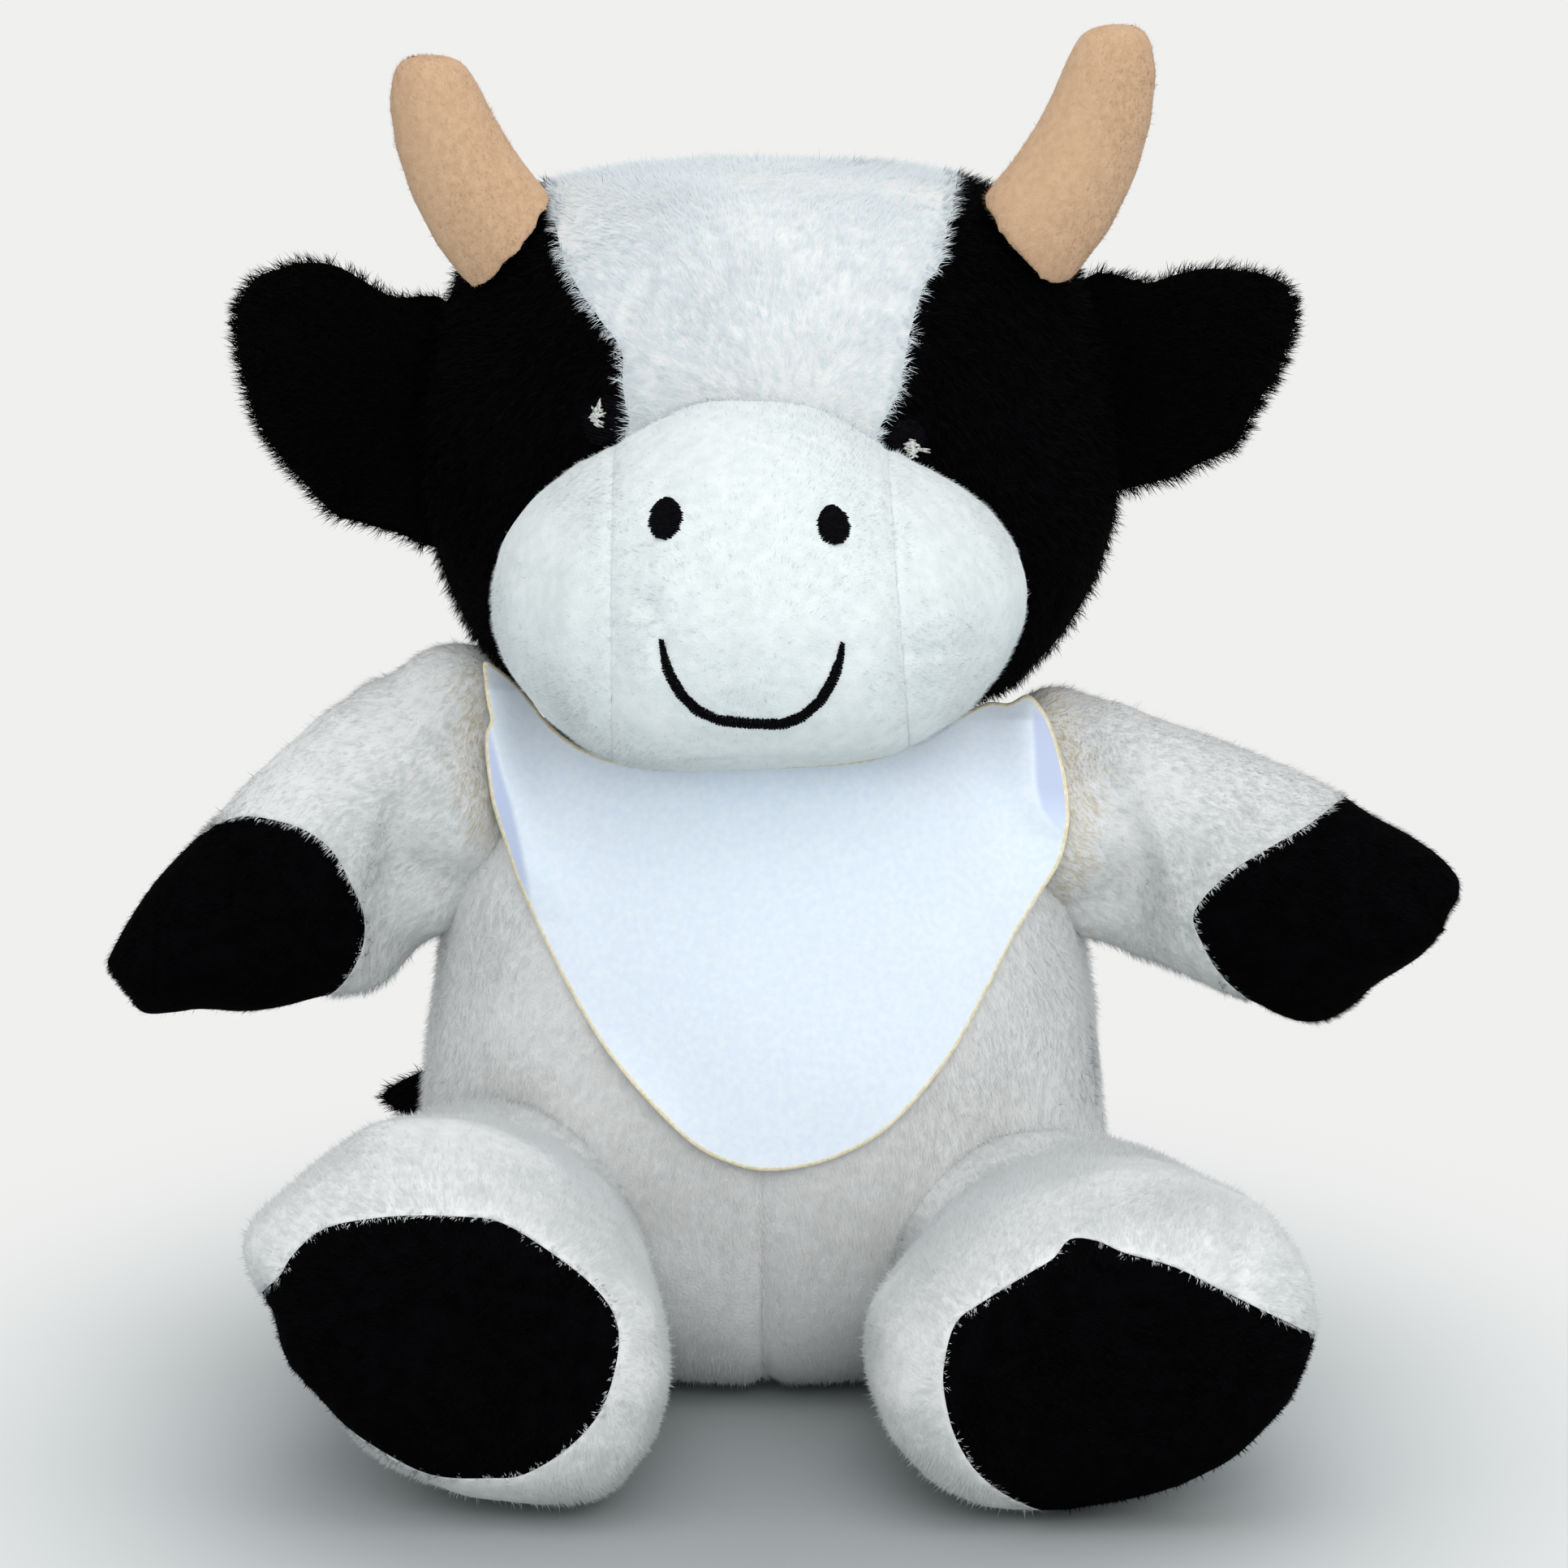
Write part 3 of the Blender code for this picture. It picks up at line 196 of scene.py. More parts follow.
def new_material(name, colour, roughness, sheen=0.0, specular=0.15):
    """A cloth material with the plain values on the shader's own sockets."""
    made = bpy.data.materials.new(name)
    made.use_nodes = True
    shader = made.node_tree.nodes["Principled BSDF"]
    shader.inputs["Base Color"].default_value = (*colour, 1)
    shader.inputs["Roughness"].default_value = roughness
    shader.inputs["Specular IOR Level"].default_value = specular
    shader.inputs["Sheen Weight"].default_value = sheen
    shader.inputs["Sheen Roughness"].default_value = 0.5
    return made


def add_patches(material, dark, light, patch_size, low=0.35, high=0.65, stretch=(1, 1, 1)):
    """The colour wanders between two tones in soft patches of about the given size."""
    nodes, links = material.node_tree.nodes, material.node_tree.links
    shader = nodes["Principled BSDF"]
    place = nodes.new("ShaderNodeTexCoord")
    mapping = nodes.new("ShaderNodeMapping")
    mapping.inputs["Scale"].default_value = stretch
    noise = nodes.new("ShaderNodeTexNoise")
    noise.inputs["Scale"].default_value = 1 / patch_size
    noise.inputs["Detail"].default_value = 5
    ramp = nodes.new("ShaderNodeValToRGB")
    ramp.color_ramp.elements[0].position = low
    ramp.color_ramp.elements[0].color = (*dark, 1)
    ramp.color_ramp.elements[1].position = high
    ramp.color_ramp.elements[1].color = (*light, 1)
    links.new(place.outputs["Object"], mapping.inputs["Vector"])
    links.new(mapping.outputs["Vector"], noise.inputs["Vector"])
    links.new(noise.outputs["Fac"], ramp.inputs["Fac"])
    links.new(ramp.outputs["Color"], shader.inputs["Base Color"])
    return material


def add_nap(material, nap_size, height, stretch=(1, 1, 1)):
    """Fine bumps, as of short fibres, stretched along the way that they are brushed."""
    nodes, links = material.node_tree.nodes, material.node_tree.links
    shader = nodes["Principled BSDF"]
    place = nodes.new("ShaderNodeTexCoord")
    mapping = nodes.new("ShaderNodeMapping")
    mapping.inputs["Scale"].default_value = stretch
    noise = nodes.new("ShaderNodeTexNoise")
    noise.inputs["Scale"].default_value = 1 / nap_size
    noise.inputs["Detail"].default_value = 3
    bump = nodes.new("ShaderNodeBump")
    bump.inputs["Distance"].default_value = height
    bump.inputs["Strength"].default_value = 0.8
    links.new(place.outputs["Object"], mapping.inputs["Vector"])
    links.new(mapping.outputs["Vector"], noise.inputs["Vector"])
    links.new(noise.outputs["Fac"], bump.inputs["Height"])
    links.new(bump.outputs["Normal"], shader.inputs["Normal"])
    return material


def brushed(name, dark, light, patch_size, nap_size, nap_height, specular=0.1, sheen=0.1):
    """A backing cloth: two tones in patches, under the fine bumps of its nap."""
    made = new_material(name, light, 0.95, sheen, specular)
    return add_nap(add_patches(made, dark, light, patch_size), nap_size, nap_height)


# %% The cloths
white_cloth = brushed(
    "white_plush_backing", (0.70, 0.71, 0.71), (0.77, 0.78, 0.78), 3 * mm, 0.5 * mm, 0.2 * mm
)
black_cloth = brushed(
    "black_plush_backing",
    (0.001, 0.001, 0.0013),
    (0.002, 0.002, 0.0025),
    3 * mm,
    0.5 * mm,
    0.2 * mm,
    specular=0.01,
    sheen=0,
)
white_pile_tones = [
    new_material("white_pile_light", (0.82, 0.825, 0.82), 0.9, 0.1, 0.1),
    new_material("white_pile_middle", (0.80, 0.805, 0.80), 0.9, 0.1, 0.1),
    new_material("white_pile_deep", (0.75, 0.755, 0.75), 0.9, 0.1, 0.1),
]
blaze_pile_tones = [
    new_material("blaze_pile_light", (0.74, 0.81, 0.84), 0.9, 0.1, 0.1),
    new_material("blaze_pile_middle", (0.72, 0.79, 0.82), 0.9, 0.1, 0.1),
    new_material("blaze_pile_deep", (0.65, 0.72, 0.75), 0.9, 0.1, 0.1),
]
# The arms and legs are the same white plush as the body; their fibres take darker tones, a painted shade.
limb_fibre_shaded_tones = [
    new_material("limb_pile_light", (0.70, 0.725, 0.725), 0.9, 0.1, 0.1),
    new_material("limb_pile_middle", (0.68, 0.705, 0.705), 0.9, 0.1, 0.1),
    new_material("limb_pile_deep", (0.64, 0.66, 0.66), 0.9, 0.1, 0.1),
    # The last tone paints a warm shade on the arms beside the bandana's edge.
    new_material("limb_pile_painted_warm_shade", (0.68, 0.60, 0.44), 0.9, 0.1, 0.1),
]
black_pile_tones = [
    new_material("black_pile_light", (0.0030, 0.0030, 0.0036), 0.85, 0, 0.02),
    new_material("black_pile_middle", (0.0020, 0.0020, 0.0024), 0.9, 0, 0.01),
    new_material("black_pile_deep", (0.0010, 0.0010, 0.0012), 0.95, 0, 0.01),
]
print("materials:", len(bpy.data.materials))

# %% [markdown]
# ## Soft solids
#
# Each stuffed part of the toy is a cloth bag that its stuffing rounds. The CAD frame holds the
# cloth and the stuffing as separate faceted solids. Here they are copied into one mesh, remeshed
# into small even faces and smoothed, which melts the facets as stuffing does. The form is shrunk
# by the height of its pile, so that the fibres end where the CAD surface lies. A plug, an
# ellipsoid at a limb's root, carries the form on into its neighbour, so that no gap opens there
# when the limb moves.

# %% Helpers for soft solids


def make_active(piece):
    bpy.ops.object.select_all(action="DESELECT")
    piece.select_set(True)
    bpy.context.view_layer.objects.active = piece


def apply_modifiers(piece):
    make_active(piece)
    for modifier in list(piece.modifiers):
        bpy.ops.object.modifier_apply(modifier=modifier.name)


def new_object(name, mesh):
    made = bpy.data.objects.new(name, mesh)
    scene.collection.objects.link(made)
    return made


def copy_of(piece, name):
    return new_object(name, piece.data.copy())


def remove(*pieces):
    for piece in pieces:
        bpy.data.objects.remove(piece)


def join_into(piece, *others):
    """Joins pieces into the first one, which keeps its name."""
    bpy.ops.object.select_all(action="DESELECT")
    for each in (piece, *others):
        each.select_set(True)
    bpy.context.view_layer.objects.active = piece
    bpy.ops.object.join()
    return piece


def largest_part(piece):
    """Removes the small closed bubbles that remeshing leaves inside."""
    shape = bmesh.new()
    shape.from_mesh(piece.data)
    left, groups = set(shape.verts), []
    while left:
        group, edge = set(), {left.pop()}
        while edge:
            group |= edge
            near = {e.other_vert(v) for v in edge for e in v.link_edges}
            edge = near - group
        left -= group
        groups.append(group)
    groups.sort(key=len)
    for group in groups[:-1]:
        bmesh.ops.delete(shape, geom=list(group), context="VERTS")
    shape.to_mesh(piece.data)
    shape.free()


def ball(centre, radii, axis=(0, 0, 1)):
    """An ellipsoid whose own Z lies along the axis."""
    bpy.ops.mesh.primitive_uv_sphere_add(segments=32, ring_count=16, radius=1, location=centre)
    made = bpy.context.object
    made.scale = radii
    made.rotation_euler = Vector(axis).to_track_quat("Z", "Y").to_euler()
    bpy.ops.object.transform_apply(location=True, rotation=True, scale=True)
    return made


def soft_solid(name, nodes, voxel, shrink, rounds, plugs=()):
    """One closed, smoothly rounded form of several CAD nodes and plugs (centre, radii, axis)."""
    shape = bmesh.new()
    for node in nodes:
        shape.from_mesh(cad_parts[node].data)
    bmesh.ops.remove_doubles(shape, verts=shape.verts, dist=0.01 * mm)
    mesh = bpy.data.meshes.new(name)
    shape.to_mesh(mesh)
    shape.free()
    piece = new_object(name, mesh)
    if plugs:
        join_into(piece, *[ball(*plug) for plug in plugs])
    remesh = piece.modifiers.new("remesh", "REMESH")
    remesh.mode = "VOXEL"
    remesh.voxel_size = voxel
    apply_modifiers(piece)
    largest_part(piece)
    if shrink:
        inset = piece.modifiers.new("shrink", "DISPLACE")
        inset.mid_level = 0
        inset.strength = -shrink
    smooth = piece.modifiers.new("smooth", "SMOOTH")
    smooth.factor = 0.5
    smooth.iterations = rounds
    apply_modifiers(piece)
    piece.data.shade_smooth()
    piece.data.materials.clear()
    return piece


def points_of(piece):
    """A mesh's points and normals as arrays."""
    count = len(piece.data.vertices)
    points = np.zeros(count * 3)
    piece.data.vertices.foreach_get("co", points)
    normals = np.zeros(count * 3, np.float32)
    piece.data.vertex_normals.foreach_get("vector", normals)
    return points.reshape(-1, 3), normals.reshape(-1, 3).astype(float)


def set_points(piece, points):
    piece.data.vertices.foreach_set("co", points.astype(np.float32).ravel())
    piece.data.update()


def tree_of(*pieces):
    """One search tree over the faces of several pieces."""
    places, faces = [], []
    for piece in pieces:
        start = len(places)
        places += [v.co for v in piece.data.vertices]
        faces += [[start + v for v in p.vertices] for p in piece.data.polygons]
    return BVHTree.FromPolygons(places, faces)


def depth_inside(points, tree, reach=0.02):
    """How deep each point lies inside a closed form, and less than zero outside."""
    depths = np.full(len(points), -reach)
    for index, point in enumerate(points):
        place, normal, _, _ = tree.find_nearest(point, reach * 3)
        if place is not None:
            depths[index] = (place - Vector(point)).dot(normal)
    return depths


def groove(piece, distance_to_seam, depth, spread):
    """Pulls the surface in along a seam, which distance_to_seam gives each point's distance from."""
    points, normals = points_of(piece)
    pull = depth * np.exp(-((distance_to_seam(points) / spread) ** 2))
    set_points(piece, points - normals * pull[:, None])


def crease(piece, line, depth, spread):
    """A crease in the side that faces the camera, along a line of the photograph."""
    points, normals = points_of(piece)
    facing = np.clip(normals @ np.array(camera_back) * 2, 0, 1)
    away = line_distance(photo_places(points), line) * pixel
    pull = depth * np.exp(-((away / spread) ** 2)) * facing
    set_points(piece, points - normals * pull[:, None])


def fit_outline(form, outline, room, taking_part=None, own_edges=False):
    """Stretch a form across the view until its edge follows an outline of the photograph.

    The room is what the pile adds outside the form. taking_part(points) is from 0 to 1, and the
    present edge is that of the points that take part. With own_edges, a direction in which the
    rest of the form reaches further stays as it is.
    """
    points = points_of(form)[0]
    part = np.ones(len(points)) if taking_part is None else taking_part(points)
    places = photo_places(points)
    edge = np.array(rounded(outline, 12))
    middle = (edge.min(axis=0) + edge.max(axis=0)) / 2
    sectors = 64

    def direction(offset):
        return (np.arctan2(offset[:, 1], offset[:, 0]) / (2 * math.pi) % 1) * sectors

    def reach(offset):
        far = np.zeros(sectors)
        at = direction(offset).astype(int) % sectors
        np.maximum.at(far, at, np.linalg.norm(offset, axis=1))
        return far

    offset = places - middle
    wanted = reach(edge - middle) - room / pixel
    present = reach(offset[part > 0.6])
    least = np.maximum(0.4 * wanted, 0.97 * reach(offset) * own_edges)
    stretch = np.where(present > least, wanted / np.maximum(present, 1), 1)
    stretch = np.clip(stretch, 0.75, 1.35)
    stretch = (np.roll(stretch, 1) + 2 * stretch + np.roll(stretch, -1)) / 4
    centres = np.arange(-1, sectors + 1) + 0.5
    around = direction(offset)
    factor = np.interp(around, centres, np.r_[stretch[-1], stretch, stretch[0]])
    limit = np.interp(around, centres, np.r_[present[-1], present, present[0]])
    nearness = np.clip(np.linalg.norm(offset, axis=1) / np.maximum(limit, 1), 0, 1) ** 2
    shift = offset * ((factor - 1) * nearness * part)[:, None]
    away = -((points - np.array(camera_place)) @ np.array(camera_back))
    shift *= (pixel * away / camera_distance)[:, None]
    points += shift[:, :1] * np.array(camera_right) - shift[:, 1:] * np.array(camera_up)
    points[:, 2] = np.maximum(points[:, 2], 0.2 * mm)
    set_points(form, points)
    print(form.name, "stretched by", stretch.min().round(2), "to", stretch.max().round(2))


def prism(name, outline, low, high, plane=0, slope=0):
    """An outline in X and Z at the plane Y = plane, extruded from low to high, down by the slope."""
    shape = bmesh.new()
    front = shape.faces.new([shape.verts.new((x, low, z - (low - plane) * slope)) for x, z in outline])
    made = bmesh.ops.extrude_face_region(shape, geom=[front])
    moved = [v for v in made["geom"] if isinstance(v, bmesh.types.BMVert)]
    bmesh.ops.translate(shape, verts=moved, vec=(0, high - low, -(high - low) * slope))
    bmesh.ops.recalc_face_normals(shape, faces=shape.faces)
    mesh = bpy.data.meshes.new(name)
    shape.to_mesh(mesh)
    shape.free()
    return new_object(name, mesh)


def cut_with(piece, cutter, operation):
    """Cuts a closed form with another by a Boolean modifier, and applies it."""
    step = piece.modifiers.new(operation, "BOOLEAN")
    step.operation = operation
    step.solver = "EXACT"
    step.object = cutter
    apply_modifiers(piece)
    return piece


def bisect_keep(piece, point, keep_side):
    """Keeps the part of a closed form on one side of a plane, and closes it there."""
    make_active(piece)
    bpy.ops.object.mode_set(mode="EDIT")
    bpy.ops.mesh.select_all(action="SELECT")
    bpy.ops.mesh.bisect(
        plane_co=point, plane_no=keep_side, use_fill=True, clear_inner=True, clear_outer=False
    )
    bpy.ops.object.mode_set(mode="OBJECT")
    return piece


def move_with(piece, body=None, bend=None):
    if bend:
        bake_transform(piece)
    else:
        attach(piece, body)


def finish_piece(piece, cloth, replaced, body=None, bend=None):
    """Gives a piece its cloth, hides the nodes it stands for, and parents it to its body; with a bend, only
    fixes its place.
    """
    if cloth:
        piece.data.materials.clear()
        piece.data.materials.append(cloth)
    if replaced:
        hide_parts(*replaced)
    move_with(piece, body, bend)
    return piece


# %% [markdown]
# ## Pile
#
# Plush is a cloth whose fibres stand up from its backing. On this toy they are short and brushed
# down, so the cloth looks like velvet, and the fibres only show as fuzz at the outline and where
# white meets black. Hair curves would be the usual way to make them, but this toy is exported as
# meshes, so each fibre is a narrow mesh blade. Roots are spread at random by area. The blades
# take their shading normals mostly from the backing, so that they shade softly, as a mass of
# fibres does.

# %% Pile helper
pile_count = 0


def waves(points, size, seed, amount):
    """A smooth random vector at each point, which changes over about the given size."""
    random = np.random.default_rng(seed)
    total = np.zeros_like(points)
    for _ in range(6):
        way = random.normal(size=(3, 3))
        way /= np.linalg.norm(way, axis=1)[:, None]
        phase = random.uniform(0, 2 * math.pi, 3)
        stretch = random.uniform(0.7, 1.4) * 2 * math.pi / size
        total += np.sin(points @ way.T * stretch + phase)
    return total * amount / math.sqrt(3)


def unit(vectors):
    return vectors / np.maximum(np.linalg.norm(vectors, axis=1), 1e-12)[:, None]


def pile(
    name,
    form,
    tones,
    seed,
    length,
    density,
    comb,
    keep=None,
    width=0.15 * mm,
    lean=66,
    droop=0.5,
    tuft=0.08,
    mess=0.12,
    soft=0.9,
    segments=1,
    stray=0.04,
    twist=0.35,
    hidden=(),
    warmth=None,
):
    """Fibres on a form. comb(points, normals) gives the way they lean, keep(points) which stay.

    warmth(points) is the share of the fibres that take the last of the tones, which on the arms paints a warm
    shade.
    """
    global pile_count
    random = np.random.default_rng(seed)
    points, normals = points_of(form)
    form.data.calc_loop_triangles()
    corners = np.zeros(len(form.data.loop_triangles) * 3, np.int32)
    form.data.loop_triangles.foreach_get("vertices", corners)
    corners = corners.reshape(-1, 3)
    free = np.ones(len(points), bool)
    for tree, depth in hidden:
        free &= depth_inside(points, tree) < depth
    corners = corners[free[corners].any(axis=1)]
    a, b, c = points[corners[:, 0]], points[corners[:, 1]], points[corners[:, 2]]
    areas = np.linalg.norm(np.cross(b - a, c - a), axis=1) / 2
    count = int(areas.sum() * density / mm**2)
    chosen = random.choice(len(corners), count, p=areas / areas.sum())
    share = random.uniform(size=(count, 2))
    over = share.sum(axis=1) > 1
    share[over] = 1 - share[over]
    weights = np.column_stack((1 - share.sum(axis=1), share[:, 0], share[:, 1]))
    at = corners[chosen]
    roots = (points[at] * weights[:, :, None]).sum(axis=1)
    up = unit((normals[at] * weights[:, :, None]).sum(axis=1))
    if keep is not None:
        kept = keep(roots)
        roots, up = roots[kept], up[kept]
        count = len(roots)
    way = comb(roots, up)
    way = unit(way - (way * up).sum(axis=1)[:, None] * up)
    way = unit(way + waves(roots, 30 * mm, seed + 1, 0.25))
    jitter = random.normal(size=(count, 3)) * mess + waves(roots, 2.2 * mm, seed + 2, tuft)
    slope = np.full(count, math.radians(lean))
    loose = random.uniform(size=count) < stray
    slope[loose] *= random.uniform(0.3, 0.7, loose.sum())
    first = unit(up * np.cos(slope)[:, None] + way * np.sin(slope)[:, None] + jitter)
    second = unit(first + way * droop + jitter * 0.4)
    long = length * random.uniform(0.7, 1.15, count)[:, None]
    base = roots - up * 0.2 * mm
    middle = base + first * long * 0.5
    tip = middle + (second if segments == 2 else first) * long * 0.5
    turned = random.uniform(-twist, twist, count)[:, None]
    across = unit(np.cross(first, up) + 1e-6)
    across = unit(across * np.cos(turned) + np.cross(first, across) * np.sin(turned))
    half = width / 2 * random.uniform(0.8, 1.25, count)[:, None]
    if segments == 2:
        rows = [base - across * half, base + across * half]
        rows += [middle + across * half * 0.8, middle - across * half * 0.8, tip]
        sizes, order, swap = (4, 3), (0, 1, 2, 3, 3, 2, 4), [1, 0, 3, 2, 4]
    else:
        rows = [base - across * half, base + across * half, tip]
        sizes, order, swap = (3,), (0, 1, 2), [1, 0, 2]
    places = np.stack(rows, axis=1)
    places[:, :, 2] = np.maximum(places[:, :, 2], 0.2 * mm)
    per_fibre = places.shape[1]
    facing = np.cross(rows[1] - rows[0], tip - rows[0])
    inward = (facing * up).sum(axis=1) < 0
    places[inward] = places[inward][:, swap]
    facing[inward] *= -1
    shading = unit(up * soft + unit(facing) * (1 - soft) + jitter * 0.15)
    mesh = bpy.data.meshes.new(name)
    mesh.vertices.add(count * per_fibre)
    mesh.vertices.foreach_set("co", places.astype(np.float32).ravel())
    loops = (np.arange(count)[:, None] * per_fibre + np.array(order)).astype(np.int32)
    mesh.loops.add(loops.size)
    mesh.loops.foreach_set("vertex_index", loops.ravel())
    starts = np.cumsum([0, *sizes[:-1]])
    starts = (np.arange(count)[:, None] * len(order) + starts).astype(np.int32)
    mesh.polygons.add(count * len(sizes))
    mesh.polygons.foreach_set("loop_start", starts.ravel())
    tone = random.choice(3, count, p=[0.5, 0.35, 0.15])
    if warmth is not None:
        tone[random.uniform(size=count) < warmth(roots)] = len(tones) - 1
    mesh.polygons.foreach_set("material_index", np.repeat(tone, len(sizes)).astype(np.int32))
    mesh.update(calc_edges=True)
    for made in tones:
        mesh.materials.append(made)
    mesh.shade_smooth()
    mesh.normals_split_custom_set_from_vertices(np.repeat(shading, per_fibre, axis=0))
    triangles = count * (3 if segments == 2 else 1)
    pile_count += triangles
    print(name, "fibres:", count, "triangles:", triangles)
    return new_object(name, mesh)


def combed(*way):
    """A comb that leans every fibre the same way."""
    return lambda points, normals: np.tile(np.array(way, float), (len(points), 1))


def border_tufts(name, form, tones, seed, side_of, length, reach, density, width=0.11 * mm):
    """White fibres that lean over the edge of a dark patch, inside which side_of is over zero."""

    def over_the_edge(points, normals):
        steps = np.eye(3) * 0.4 * mm
        return np.column_stack([side_of(points + s) - side_of(points - s) for s in steps])

    def beside_the_edge(points):
        side = side_of(points)
        near = (side < 0.2 * mm) & (side > -reach)
        return near & (waves(points, 3 * mm, seed + 3, 1)[:, 0] > -0.6)

    return pile(
        name,
        form,
        tones,
        seed,
        length,
        density,
        over_the_edge,
        beside_the_edge,
        width=width,
        lean=64,
        mess=0.2,
        tuft=0.3,
        segments=2,
    )


def clear_of(points, spots, radius):
    """Which points are further than the radius from all the spots."""
    tree = KDTree(len(spots))
    for index, spot in enumerate(spots):
        tree.insert(spot, index)
    tree.balance()
    return np.array([tree.find(point)[2] > radius for point in points], bool)


# %% [markdown]
# ## Stitches
#
# The eyes, the nostrils and the mouth are machine embroidery: short threads laid side by side,
# which dip into the cloth at both ends. Each stitch is a thin tube over the form, and its ends are
# uneven, as they are on the toy. A bump map would give the look from the front, but not the ragged
# outline.

# %% Stitch helpers


def tubes(name, paths, radius, sides=6):
    """One mesh of thin closed tubes, each along a path of points, narrower at its ends."""
    shape = bmesh.new()
    for path in paths:
        rings = []
        for index, place in enumerate(path):
            ahead = path[min(index + 1, len(path) - 1)] - path[max(index - 1, 0)]
            turn = ahead.to_track_quat("Z", "Y")
            narrow = 0.55 if index in (0, len(path) - 1) else 1
            ring = []
            for side in range(sides):
                angle = 2 * math.pi * side / sides
                offset = Vector((math.cos(angle), math.sin(angle), 0)) * radius * narrow
                ring.append(shape.verts.new(place + turn @ offset))
            rings.append(ring)
        for one, two in zip(rings[:-1], rings[1:]):
            for side in range(sides):
                after = (side + 1) % sides
                shape.faces.new((one[side], one[after], two[after], two[side]))
        shape.faces.new(list(reversed(rings[0])))
        shape.faces.new(rings[-1])
    mesh = bpy.data.meshes.new(name)
    shape.to_mesh(mesh)
    shape.free()
    mesh.shade_smooth()
    return new_object(name, mesh)


def satin_patch(name, tree, centre, radii, tilt, rows, ragged, lift, radius, seed):
    """An oval of side-by-side stitches at a place of the photograph, its long way tilted."""
    random = np.random.default_rng(seed)
    long_way = np.array((math.sin(tilt), -math.cos(tilt)))
    short_way = np.array((math.cos(tilt), math.sin(tilt)))
    paths = []
    for row in range(rows):
        high = (row + 0.5) / rows * 2 - 1
        half = math.sqrt(1 - high**2)
        ends = [half * (1 + random.uniform(-ragged, ragged)) for _ in range(2)]
        path = []
        for share in np.linspace(-1, 1, 9):
            along = share * (ends[0] if share < 0 else ends[1]) * radii[0]
            spot = np.array(centre) + long_way * high * radii[1] + short_way * along
            place, normal = on_form(tree, *spot)
            path.append(place + normal * lift * (1 - 1.25 * abs(share) ** 4))
        paths.append(path)
    return tubes(name, paths, radius)


# %% [markdown]
# ## Torso and limbs
#
# The body is a barrel of four plush panels and a seat panel, and each limb is a sleeve with a
# black end. Soft solids give their shapes. The panels are cut from them by planes through the
# seams and by the outlines of the black patches, drawn as the photograph shows them, and each is
# closed again, so every panel is a piece of its own. A shallow groove along a seam is where the
# thread pulls the cloth in.

# %% Torso and limb forms
side_seam = -6 * mm
plush_height = 1.0 * mm
torso_nodes = [
    "body_front_left",
    "body_front_right",
    "body_back_left",
    "body_back_right",
    "body_stuffing",
    "seat_pellet_bag",
    "seat_panel",
]
torso_form = soft_solid("torso_form", torso_nodes, 1.8 * mm, plush_height, 60)
groove(torso_form, lambda p: p[:, 0] - 0.6 * mm, 1.3 * mm, 1.8 * mm)
groove(torso_form, lambda p: p[:, 1] - side_seam, 1.0 * mm, 2.0 * mm)
torso_tree = tree_of(torso_form)

limb_plugs = {
    "arm_left": [
        ((-52 * mm, -6 * mm, 98 * mm), (19 * mm, 15.5 * mm, 14 * mm), (-66, -6, -35)),
        ((-51 * mm, -5 * mm, 107 * mm), (15 * mm, 13 * mm, 17.5 * mm)),
        ((-60 * mm, -5 * mm, 105.5 * mm), (13 * mm, 13 * mm, 12.8 * mm)),
        ((-60 * mm, -5 * mm, 84 * mm), (15 * mm, 12 * mm, 13 * mm)),
    ],
    "arm_right": [
        ((52 * mm, -6 * mm, 94 * mm), (19 * mm, 15.5 * mm, 14 * mm), (71, -6, -27)),
        ((49 * mm, -5 * mm, 102 * mm), (12 * mm, 13 * mm, 15 * mm)),
        ((59 * mm, -5 * mm, 84 * mm), (15 * mm, 12 * mm, 13 * mm)),
    ],
    "leg_left": [((-45 * mm, -36 * mm, 28 * mm), (29 * mm, 25 * mm, 18 * mm), (0, -1, 0))],
    "leg_right": [((47 * mm, -36 * mm, 25 * mm), (29 * mm, 23 * mm, 18 * mm), (0, -1, 0))],
}
limb_ends = {limb: "hoof" if limb.startswith("arm") else "sole" for limb in limb_plugs}
limbs = {}
for limb, plugs in limb_plugs.items():
    nodes = [f"{limb}_sleeve", f"{limb}_{limb_ends[limb]}", f"{limb}_stuffing"]
    limbs[limb] = soft_solid(limb + "_form", nodes, 1.4 * mm, plush_height, 22, plugs)
